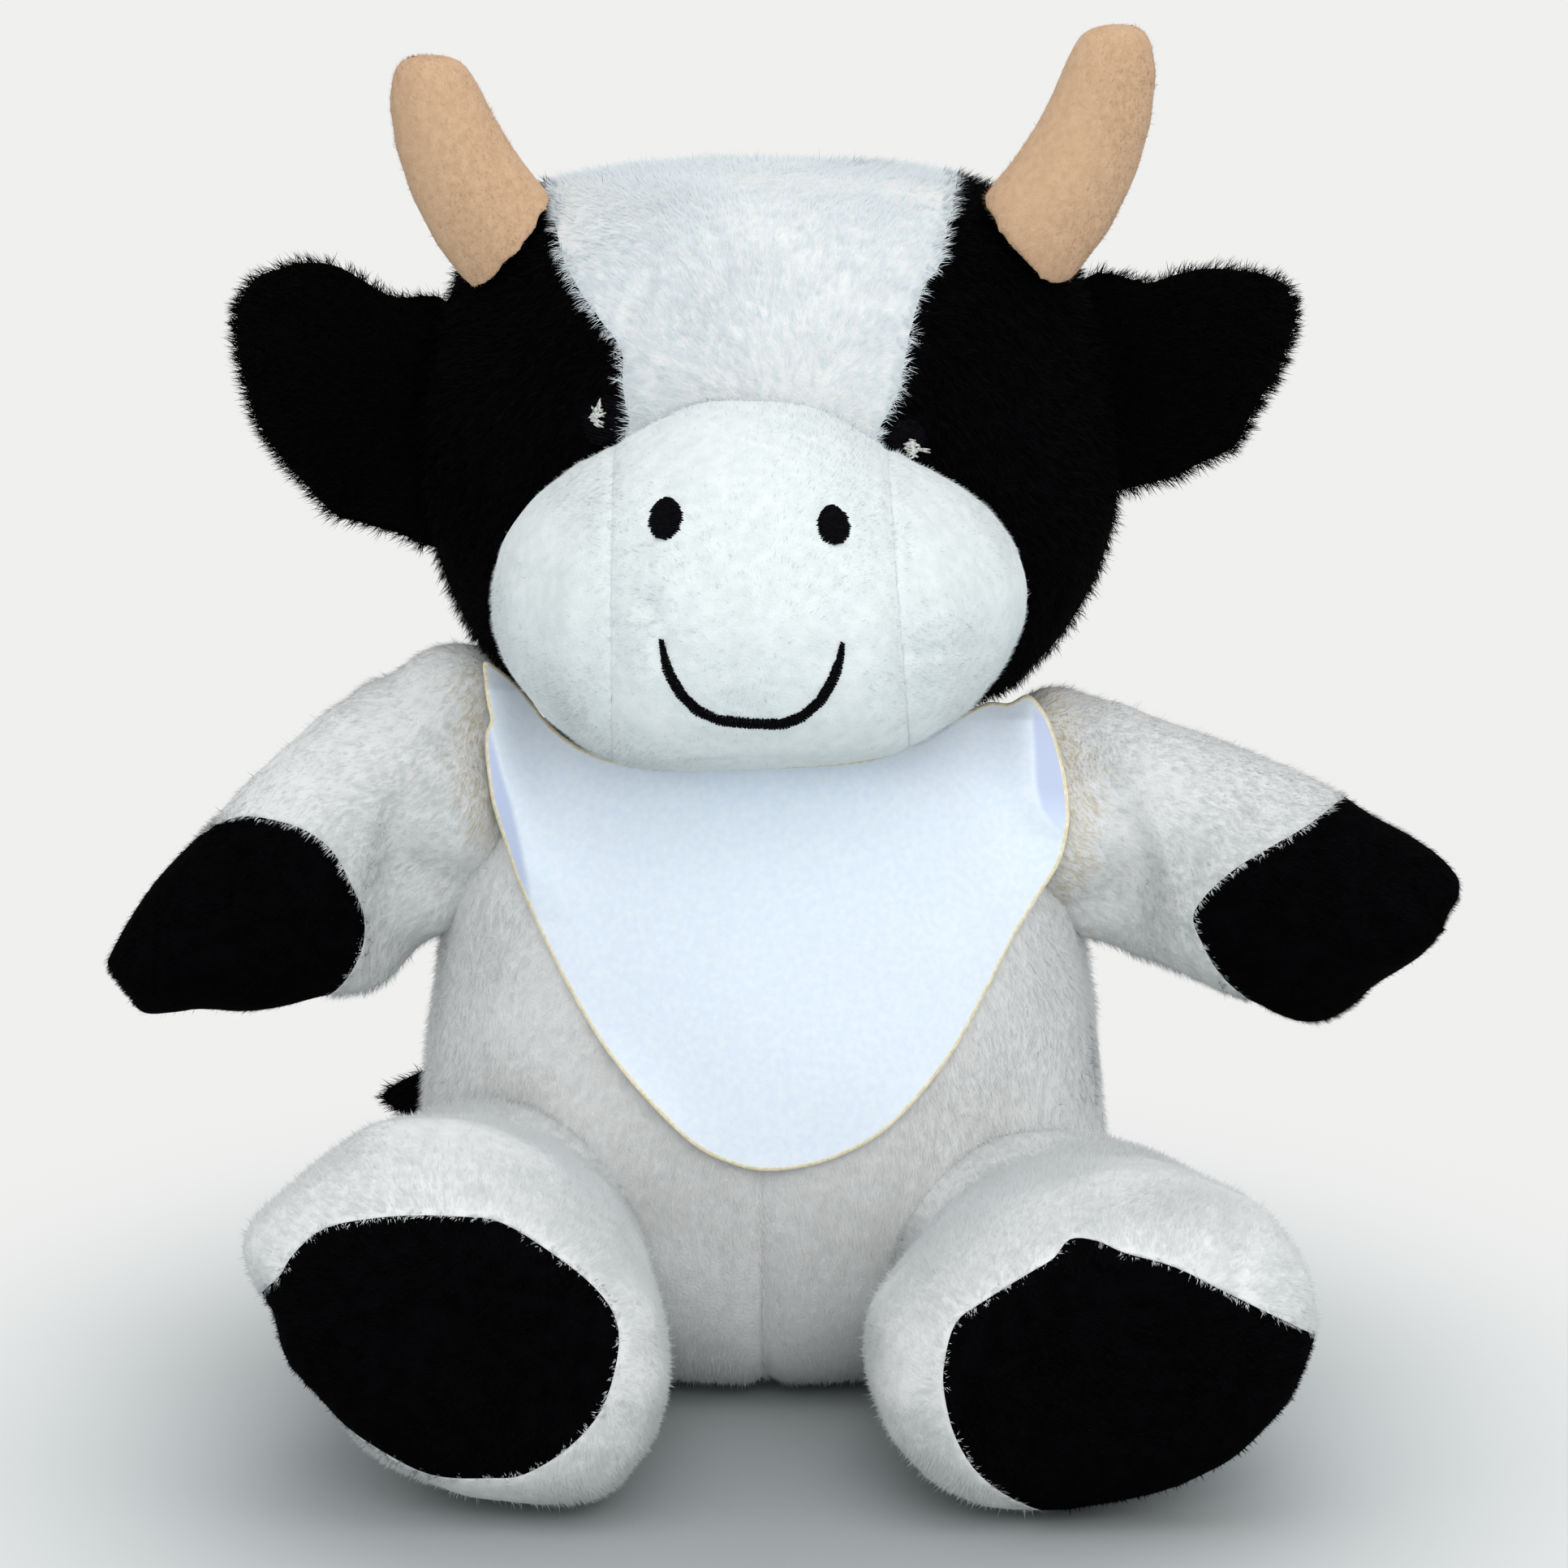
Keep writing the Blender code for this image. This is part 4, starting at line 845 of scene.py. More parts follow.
limb_outlines = {
    "arm_left": [(133, 1183), (135, 1153), (156, 1123), (192, 1081), (250, 1018), (293, 965)]
    + [(357, 906), (421, 854), (486, 818), (550, 790), (610, 900), (600, 1080), (536, 1159)]
    + [(494, 1202), (458, 1228), (409, 1231), (361, 1244), (301, 1255), (265, 1255), (235, 1248)]
    + [(186, 1250), (156, 1244), (143, 1226)],
    "arm_right": [(1306, 850), (1391, 871), (1475, 896), (1574, 931), (1658, 973), (1701, 1006)]
    + [(1764, 1038), (1796, 1067), (1802, 1110), (1789, 1152), (1743, 1188), (1694, 1217)]
    + [(1672, 1244), (1637, 1266), (1602, 1266), (1560, 1246), (1525, 1237), (1490, 1223)]
    + [(1419, 1191), (1349, 1160), (1320, 1100), (1290, 900)],
    "leg_left": [(292, 1548), (296, 1515), (318, 1488), (352, 1461), (400, 1411), (450, 1369)]
    + [(492, 1355), (548, 1355), (612, 1369), (668, 1397), (717, 1433), (753, 1475)]
    + [(795, 1552), (820, 1610), (831, 1672), (823, 1742), (790, 1800), (752, 1844)]
    + [(682, 1858), (584, 1851), (499, 1820), (436, 1777), (398, 1737), (362, 1696)]
    + [(336, 1655), (332, 1600), (318, 1578), (298, 1568)],
    "leg_right": [(1053, 1625), (1056, 1678), (1073, 1738), (1106, 1791), (1146, 1831), (1192, 1858)]
    + [(1259, 1868), (1338, 1865), (1392, 1854), (1471, 1831), (1537, 1791), (1584, 1745)]
    + [(1614, 1692), (1622, 1660), (1631, 1635), (1627, 1605), (1614, 1559), (1584, 1506)]
    + [(1544, 1466), (1484, 1440), (1418, 1425), (1352, 1426), (1285, 1443), (1219, 1466)]
    + [(1153, 1506), (1093, 1559), (1063, 1592)],
}
for limb, outline in limb_outlines.items():

    def beyond_the_body(points, limb=limb):
        if limb.startswith("leg"):
            return np.clip((-60 * mm - points[:, 1]) / (22 * mm), 0, 1)
        return np.clip((np.abs(points[:, 0]) - 54 * mm) / (10 * mm), 0, 1)

    fit_outline(limbs[limb], outline, 1.1 * mm, beyond_the_body, limb.startswith("arm"))
limb_trees = {limb: tree_of(form) for limb, form in limbs.items()}
print("limb forms:", {limb: len(form.data.polygons) for limb, form in limbs.items()})

# %% Torso panels and their pile
seat_radii = (33 * mm, 25 * mm)
bpy.ops.mesh.primitive_cylinder_add(vertices=64, radius=1, depth=0.016, location=(0, 0, -4.5 * mm))
seat_space = bpy.context.object
seat_space.scale = (*seat_radii, 1)
bpy.ops.object.transform_apply(location=True, rotation=True, scale=True)
seat = cut_with(copy_of(torso_form, "seat_panel_cloth"), seat_space, "INTERSECT")
seat_cloth = brushed(
    "seat_cloth", (0.76, 0.78, 0.79), (0.84, 0.86, 0.87), 2 * mm, 0.35 * mm, 0.12 * mm
)
finish_piece(seat, seat_cloth, ["seat_panel"], "torso")

quarters = {
    "body_front_left": (-1, -1, []),
    "body_front_right": (1, -1, []),
    "body_back_left": (-1, 1, ["body_stuffing"]),
    "body_back_right": (1, 1, ["seat_pellet_bag"]),
}
for index, (node, (side, end, inner)) in enumerate(quarters.items()):
    panel = copy_of(torso_form, node + "_plush")
    bisect_keep(panel, (0, 0, 0), (side, 0, 0))
    bisect_keep(panel, (0, side_seam, 0), (0, end, 0))
    cut_with(panel, seat_space, "DIFFERENCE")
    finish_piece(panel, white_cloth, [node, *inner], "torso")
    fibres = pile(
        node + "_pile",
        torso_form,
        white_pile_tones,
        100 + index,
        2.1 * mm,
        6,
        combed(0, 0, -1),
        lambda p, side=side, end=end: (
            (p[:, 0] * side > 0)
            & ((p[:, 1] - side_seam) * end > 0)
            & ((p[:, 2] > 4 * mm) | (np.hypot(p[:, 0] / seat_radii[0], p[:, 1] / seat_radii[1]) > 1))
        ),
        hidden=[(tree, 1.5 * mm) for tree in limb_trees.values()],
    )
    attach(fibres, "torso")
remove(seat_space)

# %% Outlines of the black ends, in millimetres, as the camera sees them at one depth
end_outlines = {
    "arm_left": (
        -12,
        [(-85.2, 95.2), (-76.9, 93.4), (-71.4, 89.7), (-68.2, 84), (-66.1, 78), (-66.8, 71.8)]
        + [(-70.4, 66.2), (-75, 63.4), (-82.3, 61), (-90, 52), (-118, 50), (-126, 78), (-112, 91)]
        + [(-95, 92), (-90.5, 94)],
    ),
    "arm_right": (
        -12,
        [(71.4, 78.2), (73.7, 82.2), (78.3, 86.4), (83.9, 89.9), (90.2, 93.6), (96.2, 98), (106, 106)]
        + [(130, 88), (124, 52), (96, 50), (89.5, 59), (84.8, 61.6), (79.3, 65.3), (75.6, 69.1)]
        + [(72.8, 74)],
    ),
    "leg_left": (
        -100,
        [(-68, 48.4), (-57.7, 50.3), (-47.5, 50.3), (-40.5, 49.2), (-32.8, 44.4), (-26, 38.7)]
        + [(-22.6, 33.1), (-22.6, 26.9), (-25.1, 19), (-30.3, 12.9), (-37.1, 8.6), (-42.3, 7.9)]
        + [(-52, 8.2), (-59.5, 11.8), (-67, 16.5), (-75.5, 22), (-80, 28), (-81, 34)]
        + [(-78.5, 37.6), (-75.4, 40.6), (-73.1, 44.2)],
    ),
    "leg_right": (
        -100,
        [(48.4, 46.3), (52.6, 46.2), (56.9, 44.4), (64.6, 42.2), (72.3, 38.3), (79.3, 34.7)]
        + [(84.5, 32), (89, 29), (88.5, 24), (83.5, 15.5), (76.5, 9.8), (66.5, 5)]
        + [(55.5, 1.5), (48.4, 1), (41.2, 3.5), (34.5, 8.3), (30.5, 14.6), (28.7, 21.7)]
        + [(28.7, 26.9), (30.5, 33.1), (34.7, 36.5), (41.6, 40.9), (45.8, 43.5)],
    ),
}
view_slope = math.tan(camera_elevation)
sole_back = -94 * mm


def end_side(limb):
    """The distance inside the outline of a limb's black end, as a function of points."""
    plane, corners = end_outlines[limb]
    outline = [(x * mm, z * mm) for x, z in rounded(corners)]

    def side(points):
        seen = np.column_stack((points[:, 0], points[:, 2] + (points[:, 1] - plane * mm) * view_slope))
        inside = outline_side(seen, outline)
        if limb.startswith("leg"):
            inside = np.minimum(inside, sole_back - points[:, 1])
        return inside

    return side, outline


# %% Sleeves, hooves and soles
arm_bend = {
    "arm_left": ("torso", "arm_left", (-44 * mm, 0, 100 * mm), (-60 * mm, 0, 95 * mm)),
    "arm_right": ("torso", "arm_right", (44 * mm, 0, 98 * mm), (60 * mm, 0, 93 * mm)),
    "leg_left": ("torso", "leg_left", (-45 * mm, -34 * mm, 27 * mm), (-45 * mm, -54 * mm, 27 * mm)),
    "leg_right": ("torso", "leg_right", (48 * mm, -34 * mm, 25 * mm), (48 * mm, -54 * mm, 25 * mm)),
}
limb_comb = {
    "arm_left": combed(-0.8, -0.1, -0.5),
    "arm_right": combed(0.8, -0.1, -0.4),
    "leg_left": combed(-0.2, 1, -0.1),
    "leg_right": combed(0.2, 1, -0.1),
}
limb_creases = {
    "arm_left": [([(283, 1158), (330, 1138), (362, 1142)], 2.0, 1.3)],
    "arm_right": [([(1718, 1172), (1700, 1145), (1690, 1128)], 1.6, 1.3)],
    "leg_left": [([(590, 1455), (600, 1500), (596, 1540)], 0.7, 2.2)],
    "leg_right": [
        ([(1330, 1445), (1336, 1490), (1328, 1535)], 0.9, 2.2),
        ([(1525, 1480), (1530, 1540), (1520, 1590)], 0.9, 2.2),
    ],
}
# Lines along the bandana's edge, beside which the arms' fibres get a painted warm shade.
warm_shade_lines = [
    [(590, 840), (592, 900), (590, 960), (604, 1010), (626, 1060)],
    [(1290, 872), (1318, 930), (1330, 990), (1322, 1050), (1290, 1110)],
]


def painted_warm_shade(points):
    """How much of the arms' plush takes the warm tone: a painted warm shade along the bandana's edge."""
    places = photo_places(points)
    away = np.minimum(*[line_distance(places, line) for line in warm_shade_lines])
    return 0.85 * np.exp(-((away / 24) ** 2)) + 0.08 * np.exp(-((away / 75) ** 2))


for index, (limb, form) in enumerate(limbs.items()):
    end_name = f"{limb}_{limb_ends[limb]}"
    side, outline = end_side(limb)
    for line, depth, spread in limb_creases[limb]:
        crease(form, line, depth * mm, spread * mm)
    reach = (-130 * mm, sole_back) if limb.startswith("leg") else (-50 * mm, 40 * mm)
    space = prism(limb + "_space", outline, *reach, end_outlines[limb][0] * mm, view_slope)
    sleeve = cut_with(copy_of(form, f"{limb}_sleeve_plush"), space, "DIFFERENCE")
    end = cut_with(copy_of(form, f"{end_name}_plush"), space, "INTERSECT")
    nodes = [f"{limb}_sleeve", f"{limb}_stuffing"]
    finish_piece(sleeve, white_cloth, nodes, bend=arm_bend[limb])
    finish_piece(end, black_cloth, [end_name], limb)
    sleeve_pile = pile(
        f"{limb}_sleeve_pile",
        form,
        limb_fibre_shaded_tones,
        200 + index,
        2.1 * mm,
        6,
        limb_comb[limb],
        lambda p, side=side: side(p) < -0.3 * mm,
        hidden=[(torso_tree, 1 * mm)],
        warmth=painted_warm_shade,
    )
    edge_pile = border_tufts(
        f"{limb}_edge_pile", form, limb_fibre_shaded_tones, 240 + index * 5, side, 1.4 * mm, 1.2 * mm, 10
    )
    end_pile = pile(
        f"{end_name}_pile",
        form,
        black_pile_tones,
        300 + index,
        1.5 * mm,
        5,
        limb_comb[limb],
        lambda p, side=side: side(p) > (0.9 * mm if p[0, 1] < -60 * mm else 0.2 * mm),
        width=0.18 * mm,
        soft=0.7,
    )
    for fibres, slot in ((sleeve_pile, "white_plush"), (edge_pile, "white_plush")):
        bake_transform(fibres)
    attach(end_pile, limb)
    remove(space)

# %% [markdown]
# ## Head
#
# The head is one ball with a white blaze between two black side panels. The border follows the
# photograph: narrow between the eyes and wide at the crown. The panels are cut from one soft
# solid with an extruded outline, and tufts of white fibres cross the border, which makes it ragged.

# %% Head form and panels
blaze_left = ((-22.3, 148), (-22.3, 160), (-21.9, 166), (-21.9, 169), (-22.4, 173), (-22.6, 178))
blaze_right = ((26.2, 187.6), (24.8, 184), (23.6, 179.5), (22.3, 173), (21.2, 170), (19, 166))
blaze_outline = [
    (across * mm, height * mm)
    for across, height in rounded(
        (
            *blaze_left,
            (-26.1, 182.5),
            (-30, 187.5),
            (-33.4, 195),
            (-35, 215),
            (35, 215),
            (31.5, 199.5),
            (29.6, 195),
            (28.7, 190.5),
            *blaze_right,
            (18.6, 163),
            (19, 148),
        )
    )
]
head_nodes = ["head_blaze", "head_side_left", "head_side_right", "head_stuffing"]
head_plug = [((0, 0, 113 * mm), (35 * mm, 27 * mm, 11 * mm))]
head_form = soft_solid("head_form", head_nodes, 1.8 * mm, plush_height, 50, head_plug)
head_tree = tree_of(head_form)

muzzle_nodes = ["muzzle_centre", "muzzle_cheek_left", "muzzle_cheek_right", "muzzle_stuffing"]
muzzle_plug = [((0, -38 * mm, 143 * mm), (34 * mm, 24 * mm, 10 * mm))]
muzzle_form = soft_solid("muzzle_form", muzzle_nodes, 1.1 * mm, 0.5 * mm, 30, muzzle_plug)
muzzle_outline = [(602, 715), (607, 679), (625, 643), (661, 602), (715, 570), (769, 539)]
muzzle_outline += [(824, 507), (878, 493), (950, 491), (1014, 503), (1068, 534), (1104, 557)]
muzzle_outline += [(1158, 584), (1213, 616), (1249, 656), (1269, 706), (1267, 751), (1249, 797)]
muzzle_outline += [(1224, 845), (1180, 892), (1124, 926), (1059, 940), (986, 947), (914, 950)]
muzzle_outline += [(842, 950), (777, 947), (720, 929), (674, 891), (640, 852), (614, 804), (604, 751)]
fit_outline(muzzle_form, muzzle_outline, 0.3 * mm)
points = points_of(muzzle_form)[0]
tuck = 1 - 0.13 * np.clip((points[:, 1] + 43 * mm) / (12 * mm), 0, 1) ** 1.5
points[:, 0] *= tuck
points[:, 2] = 143 * mm + (points[:, 2] - 143 * mm) * tuck
set_points(muzzle_form, points)

blaze_space = prism("blaze_space", blaze_outline, -0.2, 0.2)
blaze = cut_with(copy_of(head_form, "head_blaze_plush"), blaze_space, "INTERSECT")
finish_piece(blaze, white_cloth, ["head_blaze", "head_stuffing"], "head")
for side, node in ((-1, "head_side_left"), (1, "head_side_right")):
    panel = copy_of(head_form, node + "_plush")
    bisect_keep(panel, (0, 0, 0), (side, 0, 0))
    cut_with(panel, blaze_space, "DIFFERENCE")
    finish_piece(panel, black_cloth, [node], "head")
remove(blaze_space)

# %% [markdown]
# ## Eyes
#
# Each eye is a patch of black thread, nearly lost in the black pile, with a knot of pale, shiny
# threads for its highlight. The fibres of the head are kept off both.

# %% Eyes
black_thread = add_nap(
    add_patches(
        new_material("black_thread", (0.003, 0.003, 0.004), 0.7, 0, 0.03),
        (0.001, 0.001, 0.0015),
        (0.004, 0.004, 0.005),
        0.6 * mm,
    ),
    0.12 * mm,
    0.04 * mm,
)
white_thread = add_nap(
    add_patches(
        new_material("white_thread", (0.6, 0.62, 0.58), 0.4, 0, 0.5),
        (0.22, 0.23, 0.22),
        (0.80, 0.83, 0.78),
        0.35 * mm,
    ),
    0.12 * mm,
    0.04 * mm,
)
eye_spots = []
for node, centre, radii, glint, tail_way, seed in (
    ("eye_left", (746, 518), (30, 31), (740, 513), (4, -20), 21),
    ("eye_right", (1116, 541), (27, 24), (1120, 552), (22, 3), 22),
):
    patch = satin_patch(node + "_stitches", head_tree, centre, radii, 0.3, 15, 0.06, 0.7 * mm, 0.3 * mm, seed)
    finish_piece(patch, black_thread, [node], "head")
    eye_spots += [v.co.copy() for v in patch.data.vertices]
    random = np.random.default_rng(seed + 10)
    paths = []
    for row in range(10):
        high = (row + 0.5) / 10 * 2 - 1
        half = math.sqrt(1 - high**2) * 10 * random.uniform(0.75, 1.2)
        lean, sag = random.uniform(-5, 5), random.uniform(-3, 3)
        path = []
        for share in np.linspace(-1, 1, 7):
            across = glint[0] + share * half
            down = glint[1] + high * 11 + share * lean + sag * share**2
            place, normal = on_form(head_tree, across, down)
            path.append(place + normal * (1.8 - 0.6 * abs(share) ** 3) * mm)
        paths.append(path)
    for offset in (-2, 2):
        path = []
        for share in np.linspace(0, 1, 5):
            across = glint[0] + tail_way[0] * share + offset * (1 - share)
            down = glint[1] + tail_way[1] * share + offset * share
            place, normal = on_form(head_tree, across, down)
            path.append(place + normal * (1.9 - 0.6 * share) * mm)
        paths.append(path)
    spark = tubes(node + "_highlight", paths, 0.2 * mm)
    finish_piece(spark, white_thread, [node + "_spark"], "head")
print("eye stitches placed at", len(eye_spots), "points")

# %% Pile of the head


def blaze_comb(points, normals):
    way = np.zeros_like(points)
    way[:, 0] = np.clip(points[:, 0] / (20 * mm), -1, 1) * 0.6
    way[:, 1] = 0.6
    way[:, 2] = 0.4
    return way


def side_comb(points, normals):
    way = np.zeros_like(points)
    way[:, 0] = np.sign(points[:, 0]) * 0.5
    way[:, 2] = -0.8
    return way


def blaze_side(points):
    """The distance outside the blaze, in the black."""
    return -outline_side(points[:, [0, 2]], blaze_outline)


muzzle_hides = [(tree_of(muzzle_form), 0.8 * mm)]
blaze_pile = pile(
    "head_blaze_pile",
    head_form,
    blaze_pile_tones,
    400,
    2.4 * mm,
    6,
    blaze_comb,
    lambda p: blaze_side(p) < -0.3 * mm,
    tuft=0.13,
    mess=0.15,
    hidden=muzzle_hides,
)
blaze_tufts = border_tufts(
    "head_blaze_edge_pile", head_form, blaze_pile_tones, 405, blaze_side, 2.5 * mm, 2 * mm, 12
)
for fibres in (blaze_pile, blaze_tufts):
    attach(fibres, "head")
for side, node in ((-1, "head_side_left"), (1, "head_side_right")):
    fibres = pile(
        node + "_pile",
        head_form,
        black_pile_tones,
        410 + side,
        2.8 * mm,
        4.4,
        side_comb,
        lambda p, side=side: (
            (p[:, 0] * side > 0) & (blaze_side(p) > 0) & clear_of(p, eye_spots, 1.0 * mm)
        ),
        width=0.15 * mm,
        lean=55,
        mess=0.22,
        tuft=0.25,
        soft=0.6,
        segments=2,
        stray=0.1,
        hidden=muzzle_hides,
    )
    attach(fibres, "head")
remove(head_form)

# %% [markdown]
# ## Muzzle
#
# Three panels of a short brushed cloth: a wide one in the middle and a cheek on each side. The
# nostrils are ovals of side-by-side stitches, and the mouth is a narrow row of stitches across
# its line. Both are laid on the form where the photograph shows them, before the nap is spread.

# %% Muzzle seams and stitches
seam_left = (Vector((-23.6 * mm, 0, 165 * mm)), Vector((1, 0, 0)))
seam_right = (Vector((20.0 * mm, 0, 165 * mm)), Vector((1, 0, 0.075)).normalized())


def from_seam(seam):
    """A function that gives each point's distance from a seam's plane."""
    place, way = seam
    return lambda points: (points - np.array(place)) @ np.array(way)


groove(muzzle_form, from_seam(seam_left), 0.3 * mm, 1.0 * mm)
groove(muzzle_form, from_seam(seam_right), 0.5 * mm, 0.8 * mm)
crease(muzzle_form, [(1118, 806), (1170, 800), (1228, 803)], 0.4 * mm, 1.0 * mm)
crease(muzzle_form, [(798, 742), (812, 770), (818, 800)], 0.8 * mm, 2.2 * mm)
crease(muzzle_form, [(1056, 748), (1042, 774), (1036, 800)], 0.8 * mm, 2.2 * mm)
muzzle_tree = tree_of(muzzle_form)
muzzle_spots = []
for node, centre, radii, tilt, seed in (
    ("nostril_left", (820, 640), (21, 25.5), 0.2, 31),
    ("nostril_right", (1027, 648), (20.5, 24), -0.25, 32),
):
    patch = satin_patch(
        node + "_stitches", muzzle_tree, centre, radii, tilt, 17, 0.08, 0.45 * mm, 0.26 * mm, seed
    )
    finish_piece(patch, black_thread, [node], "head")
    muzzle_spots += [v.co.copy() for v in patch.data.vertices]

smile_line = [(815, 789), (818, 806), (824, 829), (839, 855), (859, 875), (886, 887), (925, 891)]
smile_line += [(964, 892), (988, 883), (1011, 863), (1027, 836), (1035, 812), (1038, 792)]
smile_line = np.array(smile_line, float)
run = np.r_[0, np.cumsum(np.linalg.norm(np.diff(smile_line, axis=0), axis=1))]
stations = np.arange(0, run[-1], 1.6)
random = np.random.default_rng(33)
paths = []
for order, station in enumerate(stations):
    here = np.array([np.interp(station, run, smile_line[:, k]) for k in (0, 1)])
    near = [np.interp(station + step, run, smile_line[:, k]) for step in (-6, 6) for k in (0, 1)]
    along = np.array(near[2:]) - np.array(near[:2])
    along /= max(np.linalg.norm(along), 1e-9)
    cross = np.array((-along[1], along[0]))
    from_end = min(station, run[-1] - station)
    half = min(6.2, 2.6 + from_end / 10) * random.uniform(0.85, 1.15)
    path = []
    for share in np.linspace(-1, 1, 6):
        spot = here + cross * half * share + along * (1.6 * share * (1 if order % 2 else -1))
        place, normal = on_form(muzzle_tree, *spot)
        path.append(place + normal * (0.4 - 0.35 * share**4) * mm)
    paths.append(path)
smile = tubes("smile_stitches", paths, 0.19 * mm)
finish_piece(smile, black_thread, ["smile"], "head")
muzzle_spots += [v.co.copy() for v in smile.data.vertices]
print("stitches of the mouth:", len(paths))

# %% Muzzle panels and their nap
muzzle_cloth = brushed(
    "muzzle_cloth", (0.69, 0.75, 0.755), (0.765, 0.82, 0.825), 2.5 * mm, 0.4 * mm, 0.15 * mm
)
muzzle_tones = [
    new_material("muzzle_nap_light", (0.785, 0.84, 0.845), 0.9, 0.1, 0.1),
    new_material("muzzle_nap_middle", (0.755, 0.81, 0.815), 0.9, 0.1, 0.1),
    new_material("muzzle_nap_deep", (0.52, 0.57, 0.58), 0.9, 0.1, 0.1),
]
centre = copy_of(muzzle_form, "muzzle_centre_cloth")
bisect_keep(centre, *seam_left)
bisect_keep(centre, seam_right[0], -seam_right[1])
finish_piece(centre, muzzle_cloth, ["muzzle_centre", "muzzle_stuffing"], "head")
for node, seam, side in (
    ("muzzle_cheek_left", seam_left, -1),
    ("muzzle_cheek_right", seam_right, 1),
):
    cheek = copy_of(muzzle_form, node + "_cloth")
    bisect_keep(cheek, seam[0], seam[1] * side)
    finish_piece(cheek, muzzle_cloth, [node], "head")


def muzzle_comb(points, normals):
    way = np.zeros_like(points)
    way[:, 0] = points[:, 0] / (30 * mm)
    way[:, 2] = (points[:, 2] - 140 * mm) / (30 * mm)
    return way


muzzle_pile = pile(
    "muzzle_nap",
    muzzle_form,
    muzzle_tones,
    500,
    1.2 * mm,
    9,
    muzzle_comb,
    lambda p: clear_of(p, muzzle_spots, 0.35 * mm),
    hidden=[(head_tree, 0)],
    width=0.13 * mm,
    lean=74,
    mess=0.1,
    tuft=0.1,
    stray=0.01,
)
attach(muzzle_pile, "head")
remove(muzzle_form)

# %% [markdown]
# ## Horns, ears and tail
#
# The horns are small cones of tan felt that curve outwards. The ears are flat pockets of the
# black plush that hang from the sides of the head, and the tail is a white cord with a black tuft.

# %% Horns
horn_cloth = brushed(
    "horn_felt", (0.55, 0.36, 0.22), (0.61, 0.41, 0.26), 1.5 * mm, 0.3 * mm, 0.12 * mm
)
horn_tones = [
    new_material("horn_nap_light", (0.61, 0.415, 0.275), 0.95, 0.05, 0.1),
    new_material("horn_nap_middle", (0.58, 0.39, 0.25), 0.95, 0.05, 0.1),
    new_material("horn_nap_deep", (0.53, 0.35, 0.22), 0.95, 0.05, 0.1),
]

for side, node in ((-1, "horn_left"), (1, "horn_right")):
    horn = soft_solid(node + "_felt", [node], 0.9 * mm, 0.5 * mm, 20)

    nap = pile(
        node + "_nap",
        horn,
        horn_tones,
        550 + side,
        1.1 * mm,
        6,
        combed(side * 0.3, 0, 1),
        width=0.13 * mm,
        hidden=[(head_tree, 1 * mm)],
    )
    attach(nap, "head")
    finish_piece(horn, horn_cloth, [node], "head")

# %% Ears
ear_outlines = {
    "ear_left": [(284, 403), (288, 362), (307, 337), (340, 320), (374, 311), (408, 317)]
    + [(446, 336), (484, 357), (521, 362), (566, 373), (572, 520), (556, 676), (540, 671)]
    + [(499, 663), (453, 656), (412, 645), (393, 622), (363, 596), (333, 562), (310, 524)]
    + [(297, 479), (288, 441)],
    "ear_right": [(1340, 336), (1360, 334), (1392, 341), (1421, 338), (1441, 330), (1473, 322)]
    + [(1513, 320), (1541, 324), (1573, 336), (1600, 351), (1597, 375), (1603, 401), (1589, 429)]
    + [(1581, 457), (1565, 489), (1545, 525), (1531, 553), (1509, 570), (1473, 582), (1441, 598)]
    + [(1392, 606), (1362, 610), (1336, 600), (1326, 480)],
}
for side, ear in ((-1, "ear_left"), (1, "ear_right")):
    low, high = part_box(ear + "_front")
    root = Vector((side * 56 * mm, 4 * mm, (low.z + high.z) / 2))
    plug = [(root, (4 * mm, 18 * mm, 9 * mm), (side, 0, 0))]
    plug.append(((side * 60 * mm, 4 * mm, low.z + 9.5 * mm), (10 * mm, 4.5 * mm, 9.5 * mm)))
    form = soft_solid(ear + "_form", [ear + "_front", ear + "_back"], 1.2 * mm, 0.8 * mm, 12, plug)
    fit_outline(
        form,
        ear_outlines[ear],
        1.5 * mm,
        lambda p, side=side: np.clip((p[:, 0] * side - 52 * mm) / (5 * mm), 0, 1),
    )
    bend = ("head", ear, (side * 54 * mm, 4 * mm, 160 * mm), (side * 63 * mm, 4 * mm, 160 * mm))
    for half, end in (("front", -1), ("back", 1)):
        piece = bisect_keep(copy_of(form, f"{ear}_{half}_plush"), (0, 4 * mm, 0), (0, end, 0))
        finish_piece(piece, black_cloth, [f"{ear}_{half}"], bend=bend)
        fibres = pile(
            f"{ear}_{half}_pile",
            form,
            black_pile_tones,
            600 + side * 10 + end,
            3.0 * mm,
            7,
            combed(side, 0, 0.2),
            lambda p, end=end: (p[:, 1] - 4 * mm) * end > 0,
            width=0.14 * mm,
            lean=50,
            mess=0.26,
            tuft=0.3,
            soft=0.5,
            segments=2,
            stray=0.1,
            hidden=[(head_tree, 1 * mm)],
        )
        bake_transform(fibres)
    remove(form)

# %% Tail and neck
for node, cloth, tones, slot in (
    ("tail_cord", white_cloth, white_pile_tones, "white_plush"),
    ("tail_tuft", black_cloth, black_pile_tones, "black_plush"),
):
    form = soft_solid(node + "_plush", [node], 0.9 * mm, 1.0 * mm, 4)
    fibres = pile(
        node + "_pile",
        form,
        tones,
        700 + len(node),
        2.6 * mm,
        5,
        combed(-1, 0, 0),
        lean=50,
        mess=0.3,
        soft=0.7,
        segments=2,
    )
    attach(fibres, "tail")
    finish_piece(form, cloth, [node], "tail")

